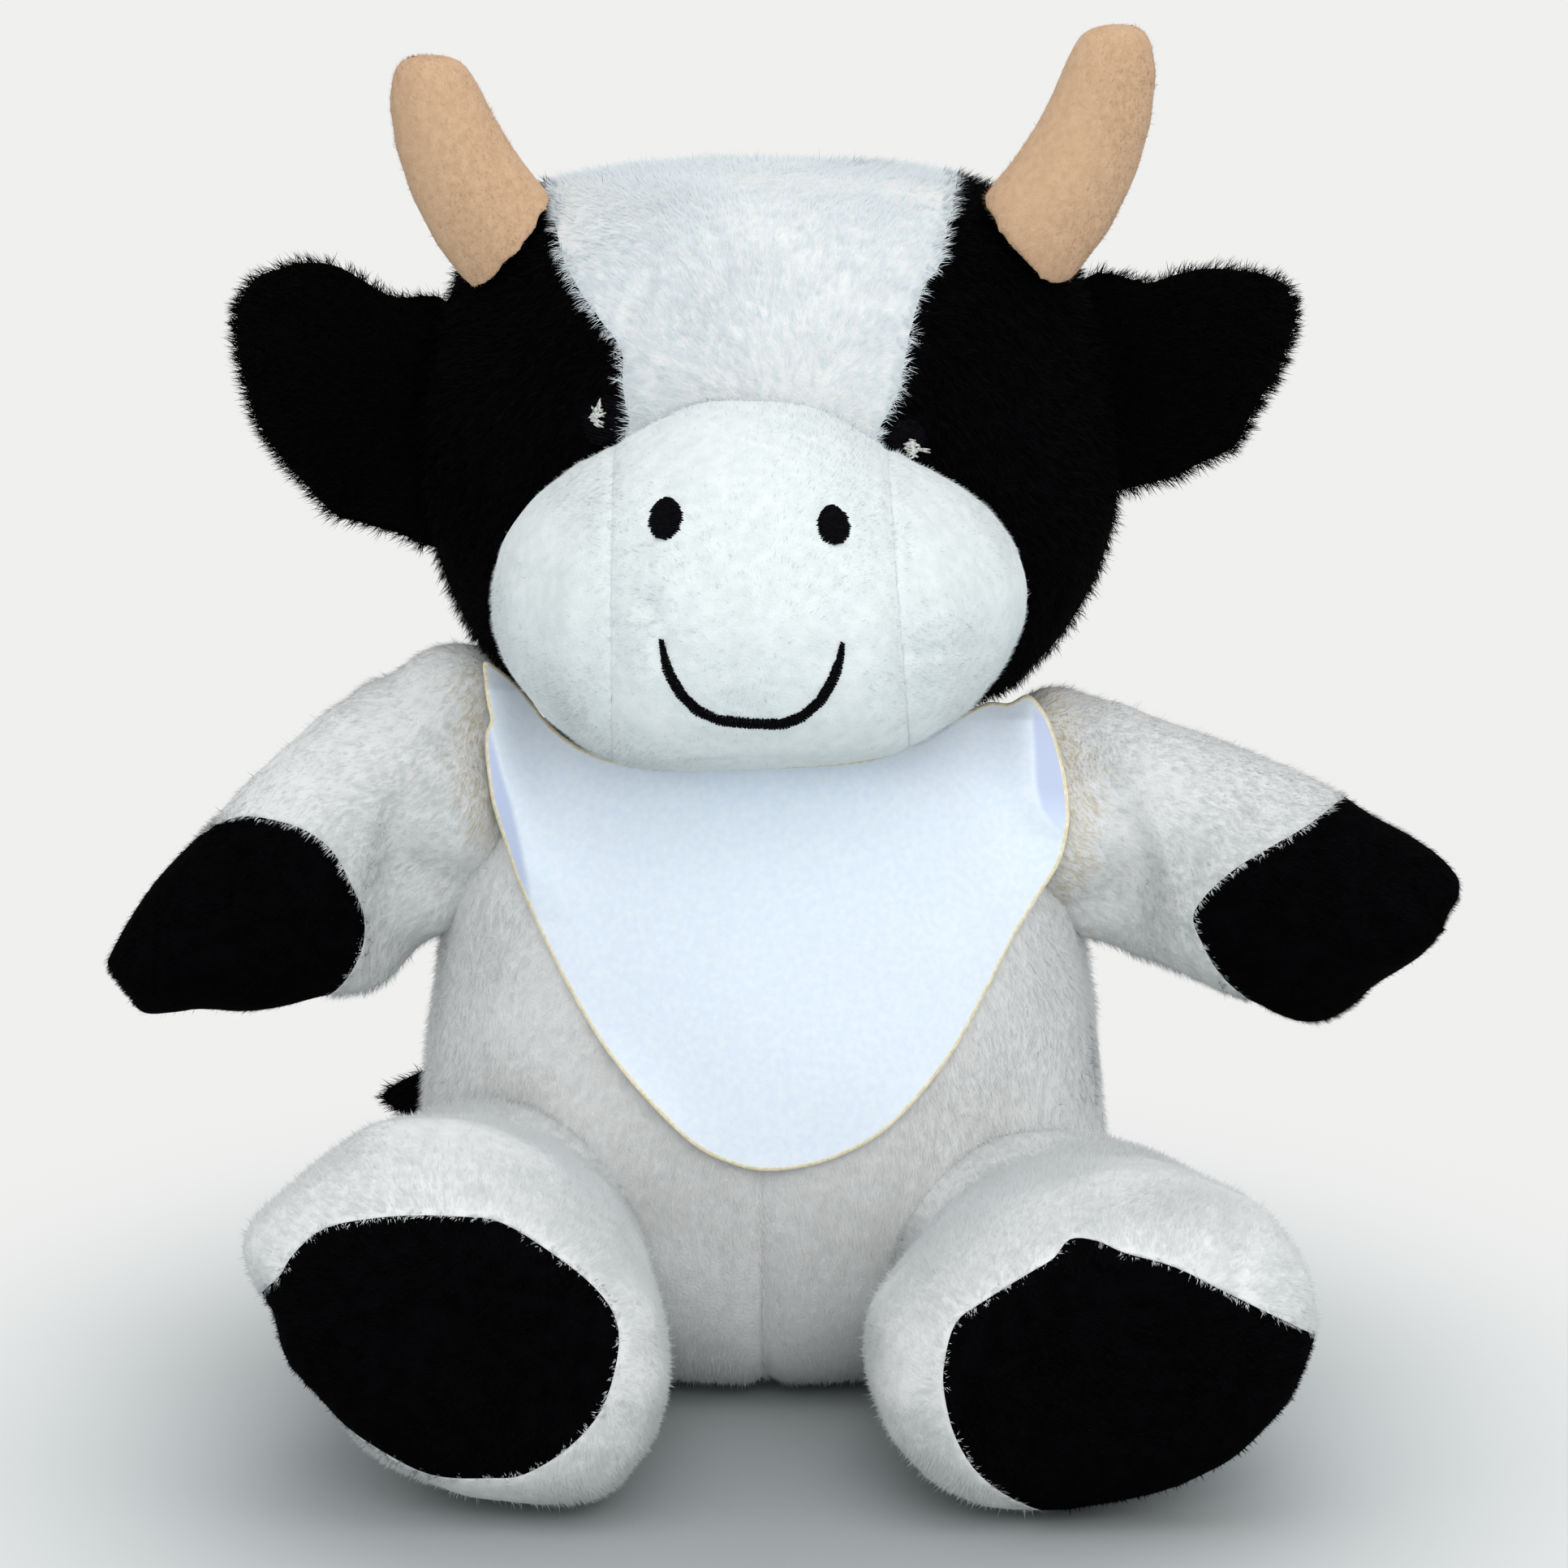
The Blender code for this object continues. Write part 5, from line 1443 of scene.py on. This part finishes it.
stuffing_cloth = brushed(
    "stuffing", (0.80, 0.80, 0.78), (0.90, 0.90, 0.88), 3 * mm, 0.8 * mm, 0.4 * mm
)
neck = soft_solid("neck_filling", ["neck_stuffing"], 2 * mm, 0.5 * mm, 4)
finish_piece(neck, stuffing_cloth, ["neck_stuffing"], "neck")

# %% [markdown]
# ## Bandana
#
# The bandana is one light cloth: its corner hangs over the chest, its two sides are laid back over
# the shoulders, and it is rolled behind the neck and knotted there. The corner is drawn flat, as
# rings of points inside the outline that the photograph shows. Each point is sent from the camera
# onto the chest, and then the cloth is pulled tight over what lies under it by letting each point
# move to the middle of its neighbours, but never into the chest. That is a cloth simulation of the
# simplest kind, quick and the same in every run. A thin cream line along the hem is the cut edge,
# and its brownish tones also paint the shade along that edge. The strips laid back over the
# shoulders take a darker tone, a painted shade of their folds.

# %% Bandana cloth


def paint_fold_shade(material, attribute, tone):
    """Where the attribute is 1, on the strips folded back over the shoulders, the cloth takes its other tone,
    a painted shade of the folds.
    """
    nodes, links = material.node_tree.nodes, material.node_tree.links
    shader = nodes["Principled BSDF"]
    plain = shader.inputs["Base Color"].links[0].from_socket
    turned = nodes.new("ShaderNodeAttribute")
    turned.attribute_name = attribute
    both = nodes.new("ShaderNodeMix")
    both.data_type = "RGBA"
    both.inputs["B"].default_value = (*tone, 1)
    links.new(turned.outputs["Fac"], both.inputs["Factor"])
    links.new(plain, both.inputs["A"])
    links.new(both.outputs["Result"], shader.inputs["Base Color"])
    return material


bandana_cloth = add_nap(
    add_patches(
        new_material("bandana_cloth", (0.80, 0.89, 1.0), 0.6, 0.15, 0.3),
        (0.77, 0.865, 0.985),
        (0.84, 0.92, 1.0),
        1.2 * mm,
        low=0.3,
        high=0.7,
    ),
    0.25 * mm,
    0.05 * mm,
)
# The strips over the shoulders take a darker blue: painted shade of the folds.
paint_fold_shade(bandana_cloth, "turned", (0.58, 0.66, 0.88))
# The hem's cream is the cut edge; its brownish tones also paint the shade along it.
bandana_cut_edge_and_shade = add_nap(
    add_patches(
        new_material("bandana_cut_edge_and_shade", (0.90, 0.82, 0.58), 0.7, 0.1, 0.2),
        (0.82, 0.72, 0.46),
        (0.95, 0.90, 0.72),
        0.8 * mm,
    ),
    0.2 * mm,
    0.05 * mm,
)
flap_outline = [(598, 815), (597, 841), (600, 865), (604, 887), (598, 904), (598, 929), (601, 956)]
flap_outline += [(607, 993), (622, 1040), (637, 1085), (657, 1130), (677, 1172), (708, 1232)]
flap_outline += [(748, 1296), (796, 1354), (852, 1409), (900, 1434), (948, 1443), (1012, 1433)]
flap_outline += [(1076, 1404), (1124, 1361), (1175, 1296), (1215, 1224), (1250, 1155)]
flap_outline += [(1280, 1105), (1306, 1062), (1317, 1017), (1317, 990), (1314, 963)]
flap_outline += [(1309, 937), (1300, 905), (1288, 878), (1267, 856), (1243, 866), (1215, 866)]
flap_outline += [(1171, 888), (1122, 914), (1083, 931), (1042, 938), (978, 942), (906, 944)]
flap_outline += [(841, 944), (777, 941), (721, 924), (681, 896), (656, 866), (632, 838)]
ridge_left = np.array([(599, 820), (606, 897), (620, 951), (632, 990), (643, 1037), (653, 1090), (662, 1135)])
ridge_right = np.array([(1267, 857), (1272, 917), (1274, 966), (1281, 996), (1296, 1018), (1316, 1034)])

# %% The corner over the chest
bandana_lift = 2.0 * mm
carrier = tree_of(torso_form, limbs["arm_left"], limbs["arm_right"], limbs["leg_left"], limbs["leg_right"])
grid_step = 8
grid_across = np.arange(572, 1350, grid_step)
grid_down = np.arange(796, 1476, grid_step)
limit = np.full((len(grid_down), len(grid_across)), np.nan)
for row, down in enumerate(grid_down):
    for column, across in enumerate(grid_across):
        way = photo_ray(across, down)
        place, normal, _, far = carrier.ray_cast(camera_place, way)
        if place is not None and place.y < 2 * mm:
            limit[row, column] = far - bandana_lift / max(0.5, -normal.dot(way))
known = ~np.isnan(limit)
depth = np.where(known, limit, np.nanmean(limit))
limit = np.where(known, limit, np.inf)


def spread_out(depth):
    """The mean of each point's four neighbours on the grid."""
    wide = np.pad(depth, 1, mode="edge")
    return (wide[:-2, 1:-1] + wide[2:, 1:-1] + wide[1:-1, :-2] + wide[1:-1, 2:]) / 4


for _ in range(400):
    depth = np.where(known, depth, spread_out(depth))
for _ in range(160):
    depth = np.minimum(spread_out(depth), limit)
for _ in range(6):
    depth = spread_out(depth)
cloth_depth = depth
cell, border = 4, 4.5
around = np.array(rounded(flap_outline, 12))
along = np.roll(around, -1, axis=0) - np.roll(around, 1, axis=0)
inward = np.column_stack([along[:, 1], -along[:, 0]]) / np.linalg.norm(along, axis=1)[:, None]
hem = around + inward * border
lattice = np.array(
    [
        (across + cell / 2 * (row % 2), down)
        for row, down in enumerate(np.arange(grid_down[0], grid_down[-1], cell * 0.866))
        for across in np.arange(grid_across[0], grid_across[-1], cell)
    ]
)
hem = hem[outline_side(hem, around) > 0.8 * border]
lattice = lattice[outline_side(lattice, around) > border + 0.6 * cell]
spots, _, triangles, *_ = delaunay_2d_cdt(
    [Vector(spot) for spot in np.vstack([around, hem, lattice])],
    [],
    [list(range(len(around)))],
    1,
    1e-6,
)
spots = np.array([tuple(spot) for spot in spots])
centres = spots[np.array(triangles)].mean(axis=1)
edged = outline_side(centres, around) < 0.8 * border
ways = np.array([photo_ray(*spot) for spot in spots])
columns = (spots[:, 0] - grid_across[0]) / grid_step
rows = (spots[:, 1] - grid_down[0]) / grid_step
column, row = columns.astype(int), rows.astype(int)
columns, rows = columns - column, rows - row
upper = cloth_depth[row, column] * (1 - columns) + cloth_depth[row, column + 1] * columns
lower = cloth_depth[row + 1, column] * (1 - columns) + cloth_depth[row + 1, column + 1] * columns
depth = upper * (1 - rows) + lower * rows
under_chin = np.exp(-(((spots[:, 1] - 940) / 80) ** 2) - ((spots[:, 0] - 955) / 210) ** 2)
depth -= 6 * mm * under_chin
turned = np.zeros_like(depth)
for ridge, side in ((ridge_left, -1), (ridge_right, 1)):
    crest = np.interp(spots[:, 1], ridge[:, 1], ridge[:, 0])
    beyond = (spots[:, 0] - crest) * side * pixel
    low_end = np.clip((ridge[-1, 1] - spots[:, 1]) / 60, 0, 1)
    high_end = np.clip((spots[:, 1] - ridge[0, 1]) / 30, 0, 1)
    crest = np.where(beyond < 0, np.exp(-((beyond / (6 * mm)) ** 2)), 1)
    depth -= 3.2 * mm * crest * low_end * high_end
    depth += np.clip(beyond, 0, 4.8 * mm) * 0.95 * low_end * high_end
    # The strip beyond each ridge is marked for the painted shade of its fold.
    turned = np.maximum(turned, np.clip(beyond / (0.8 * mm), 0, 1) * low_end**0.5 * high_end)
soft_folds = waves(np.column_stack((spots * pixel, spots[:, 0] * 0)), 26 * mm, 51, 0.14)
depth -= soft_folds[:, 0] * mm
places = np.array(camera_place) + ways * depth[:, None]

shape = bmesh.new()
verts = [shape.verts.new(place) for place in places]
for corners, hemmed in zip(triangles, edged):
    face = shape.faces.new([verts[corner] for corner in corners])
    face.material_index = int(hemmed)
bmesh.ops.recalc_face_normals(shape, faces=shape.faces)
if sum(face.normal.y * face.calc_area() for face in shape.faces) > 0:
    bmesh.ops.reverse_faces(shape, faces=shape.faces)
mesh = bpy.data.meshes.new("bandana_flap_cloth")
shape.to_mesh(mesh)
flap_area = sum(face.calc_area() for face in shape.faces)
shape.free()
turned = turned.astype(np.float32)
mesh.attributes.new("turned", "FLOAT", "POINT").data.foreach_set("value", turned)
flap = new_object("bandana_flap_cloth", mesh)
flap.data.materials.append(bandana_cloth)
flap.data.materials.append(bandana_cut_edge_and_shade)
wall = flap.modifiers.new("wall", "SOLIDIFY")
wall.thickness = 0.6 * mm
wall.offset = -1
wall.material_offset_rim = 1
apply_modifiers(flap)
flap.data.shade_smooth()
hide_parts("bandana_flap")
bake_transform(flap)
print("flap area in square cm:", round(flap_area * 1e4, 1))

# %% The roll behind the neck


def rolled_cloth(name, path, radii, lean):
    """A roll of cloth along a path, with folds that run along it and twist a little."""
    shape, rings, sides = bmesh.new(), [], 40
    for index, (place, (wide, high)) in enumerate(zip(path, radii)):
        ahead = path[min(index + 1, len(path) - 1)] - path[max(index - 1, 0)]
        across = Vector((0, 0, 1)).cross(ahead).normalized()
        upward = ahead.cross(across).normalized()
        across, upward = across + upward * lean, upward - across * lean
        ring = []
        for side in range(sides):
            angle = 2 * math.pi * side / sides
            swell = 1 + 0.12 * math.sin(4 * angle + index * 0.07 + 0.5 * math.sin(index * 0.21))
            swell += 0.07 * math.sin(7 * angle - index * 0.11)
            offset = across * math.cos(angle) * wide + upward * math.sin(angle) * high
            ring.append(shape.verts.new(place + offset * swell))
        rings.append(ring)
    for one, two in zip(rings[:-1], rings[1:]):
        for side in range(sides):
            after = (side + 1) % sides
            shape.faces.new((one[side], one[after], two[after], two[side]))
    for ring, way in ((rings[0], -1), (rings[-1], 1)):
        shape.faces.new(ring[::way])
    bmesh.ops.recalc_face_normals(shape, faces=shape.faces)
    mesh = bpy.data.meshes.new(name)
    shape.to_mesh(mesh)
    shape.free()
    mesh.shade_smooth()
    return new_object(name, mesh)


band_path, band_radii = [], []
for angle in np.linspace(math.radians(-28), math.radians(208), 80):
    place = Vector((46 * mm * math.cos(angle), -1 * mm + 35.5 * mm * math.sin(angle), 130 * mm))
    hit, _, _, _ = carrier.ray_cast(place, Vector((0, 0, -1)))
    height = min(max(hit.z if hit else 0, 99 * mm), 106.5 * mm)
    band_path.append(Vector((place.x, place.y, height + 1.6 * mm)))
    gather = 1 - 0.25 * math.exp(-(((angle - math.pi / 2) / 0.25) ** 2))
    band_radii.append((2.4 * mm * gather, 3.6 * mm * gather))
heights = np.array([p.z for p in band_path])
for _ in range(12):
    heights[1:-1] = (heights[:-2] + 2 * heights[1:-1] + heights[2:]) / 4
for place, height in zip(band_path, heights):
    place.z = height
band = rolled_cloth("bandana_band_cloth", band_path, band_radii, 0.35)
finish_piece(band, bandana_cloth, ["bandana_band"], "torso")

# %% Knot and its two ends
knot_low, knot_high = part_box("bandana_knot")
knot_middle = (knot_low + knot_high) / 2
knot = ball(knot_middle, tuple((knot_high - knot_low) / 2))
knot.name = "bandana_knot_cloth"
make_active(knot)
finer = knot.modifiers.new("finer", "SUBSURF")
finer.levels = finer.render_levels = 1
apply_modifiers(knot)
points, normals = points_of(knot)
turn = np.arctan2(points[:, 2] - knot_middle.z, points[:, 0] - knot_middle.x)
fold = 0.5 * mm * np.sin(4 * turn + 0.9) + 0.3 * mm * np.sin(9 * turn)
wrap = np.exp(-(((points[:, 0] - knot_middle.x) / (2.2 * mm)) ** 2)) * 0.9 * mm
set_points(knot, points + normals * (fold + wrap)[:, None])
knot.data.shade_smooth()
finish_piece(knot, bandana_cloth, ["bandana_knot"], "torso")

for side, node in ((-1, "knot_end_left"), (1, "knot_end_right")):
    low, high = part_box(node)
    rows, columns = 22, 13
    shape, grid = bmesh.new(), []
    for row in range(rows):
        down = row / (rows - 1)
        height = high.z + (low.z - high.z) * down
        half = (3.2 + 4.6 * math.sin(math.pi * min(down * 0.62 + 0.08, 0.66))) * mm
        half *= 1 if down < 0.8 else 1 - ((down - 0.8) / 0.2) ** 2 * 0.75
        centre_x = side * (3.5 + 8.0 * down**0.8) * mm
        line = []
        for column in range(columns):
            across = column / (columns - 1) * 2 - 1
            spot = Vector((centre_x + across * half, 0.2, height))
            hit, _, _, _ = torso_tree.ray_cast(spot, Vector((0, -1, 0)))
            ripple = 1.3 * mm * (1 + math.sin(across * 3.6 + side)) * (0.3 + 0.7 * down)
            back = (hit.y if hit else low.y) + 1.6 * mm + ripple
            back = max(back, low.y - 1.5 * mm * down)
            line.append(shape.verts.new((spot.x, back, height)))
        grid.append(line)
    for row in range(rows - 1):
        for column in range(columns - 1):
            face = shape.faces.new(
                (grid[row][column], grid[row][column + 1], grid[row + 1][column + 1], grid[row + 1][column])
            )
            face.material_index = 1 if column in (0, columns - 2) or row == rows - 2 else 0
    bmesh.ops.recalc_face_normals(shape, faces=shape.faces)
    mesh = bpy.data.meshes.new(node + "_cloth")
    shape.to_mesh(mesh)
    shape.free()
    piece = new_object(node + "_cloth", mesh)
    piece.data.materials.append(bandana_cloth)
    piece.data.materials.append(bandana_cut_edge_and_shade)
    wall = piece.modifiers.new("wall", "SOLIDIFY")
    wall.thickness = 0.6 * mm
    wall.offset = 0
    wall.material_offset_rim = 1
    finer = piece.modifiers.new("finer", "SUBSURF")
    finer.levels = finer.render_levels = 1
    apply_modifiers(piece)
    piece.data.shade_smooth()
    finish_piece(piece, None, [node], "torso")

remove(torso_form, *limbs.values())

# %% [markdown]
# ## Floor and light
#
# The toy stands on a pale floor in soft light from all round. The lamps are large and weak, so
# that a colour renders about as it is written. Close round the toy the floor's own colour is
# darker, a painted shadow. Far from the toy the floor turns into a plain pale background for the
# camera alone, which changes no light on the toy.

# %% Floor
floor_material = new_material("floor", (0.62, 0.64, 0.645), 0.9)
nodes, links = floor_material.node_tree.nodes, floor_material.node_tree.links
shader, output = nodes["Principled BSDF"], nodes["Material Output"]
place = nodes.new("ShaderNodeTexCoord")

centred = nodes.new("ShaderNodeMapping")
centred.inputs["Location"].default_value = (0, 0.06, 0)
centred.inputs["Scale"].default_value = (1.35, 1, 1)
radius = nodes.new("ShaderNodeVectorMath")
radius.operation = "LENGTH"
far = nodes.new("ShaderNodeMapRange")
far.interpolation_type = "SMOOTHSTEP"
far.inputs["From Min"].default_value = 0.09
far.inputs["From Max"].default_value = 0.26
# How near the toy a point of the floor is, for the painted shadow round it.
near = nodes.new("ShaderNodeMapRange")
near.interpolation_type = "SMOOTHSTEP"
near.inputs["From Min"].default_value = 0.04
near.inputs["From Max"].default_value = 0.22
# Close round the toy the floor's own colour is darker: a painted shadow, besides the shadow that the lamps
# cast.
painted_floor_shade = nodes.new("ShaderNodeValToRGB")
painted_floor_shade.color_ramp.elements[0].color = (0.36, 0.39, 0.395, 1)
painted_floor_shade.color_ramp.elements[1].color = (0.66, 0.71, 0.73, 1)
links.new(place.outputs["Object"], centred.inputs["Vector"])
links.new(centred.outputs["Vector"], radius.inputs[0])
links.new(radius.outputs["Value"], near.inputs["Value"])
links.new(near.outputs["Result"], painted_floor_shade.inputs["Fac"])
links.new(painted_floor_shade.outputs["Color"], shader.inputs["Base Color"])
sight = nodes.new("ShaderNodeLightPath")
seen = nodes.new("ShaderNodeMath")
seen.operation = "MAXIMUM"
through = nodes.new("ShaderNodeMath")
through.operation = "MAXIMUM"
both = nodes.new("ShaderNodeMath")
both.operation = "MULTIPLY"
glow = nodes.new("ShaderNodeEmission")
glow.inputs["Color"].default_value = (0.87, 0.87, 0.86, 1)
blend = nodes.new("ShaderNodeMixShader")
links.new(radius.outputs["Value"], far.inputs["Value"])
links.new(sight.outputs["Is Camera Ray"], seen.inputs[0])
links.new(sight.outputs["Is Glossy Ray"], seen.inputs[1])
links.new(seen.outputs["Value"], through.inputs[0])
links.new(sight.outputs["Is Transmission Ray"], through.inputs[1])
links.new(through.outputs["Value"], both.inputs[0])
links.new(far.outputs["Result"], both.inputs[1])
links.new(both.outputs["Value"], blend.inputs["Fac"])
links.new(shader.outputs["BSDF"], blend.inputs[1])
links.new(glow.outputs["Emission"], blend.inputs[2])
links.new(blend.outputs["Shader"], output.inputs["Surface"])
bpy.ops.mesh.primitive_plane_add(size=1, location=(0, 0, 0))
floor = bpy.context.object
floor.name = "floor"
floor.scale = (60, 60, 1)
bpy.ops.object.transform_apply(location=True, rotation=True, scale=True)
floor.data.materials.append(floor_material)
floor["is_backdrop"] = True

# %% Lamps and sky


def lamp(name, place, size, power):
    """A round soft lamp that looks at the toy."""
    data = bpy.data.lights.new(name, "AREA")
    data.shape = "DISK"
    data.size = size
    data.energy = power
    made = bpy.data.objects.new(name, data)
    scene.collection.objects.link(made)
    made.location = place
    made.rotation_mode = "QUATERNION"
    made.rotation_quaternion = (Vector((0, 0, 0.1)) - Vector(place)).to_track_quat("-Z", "Y")
    return made


lamp("key", (0.2, -0.85, 1.15), 1.3, 2.4)
lamp("front", (0.15, -1.35, 0.6), 0.9, 5.4)
lamp("left", (-1.1, -0.6, 0.5), 0.8, 0.8)
lamp("right", (1.1, -0.6, 0.5), 0.8, 1.2)
lamp("back", (0.2, 0.9, 1.0), 0.9, 1.2)
lamp("top", (0.0, -0.1, 1.3), 1.0, 2.6)
world = bpy.data.worlds.new("studio")
scene.world = world
world.use_nodes = True
sky = world.node_tree.nodes["Background"]
sky.inputs["Color"].default_value = (1, 1, 1, 1)
sky.inputs["Strength"].default_value = 0.70
scene.view_settings.view_transform = "Standard"

# %% Measure and finish
low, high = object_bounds()
print("pile triangles:", pile_count)
print("visual box in mm:", [round(side / mm, 1) for side in high - low])
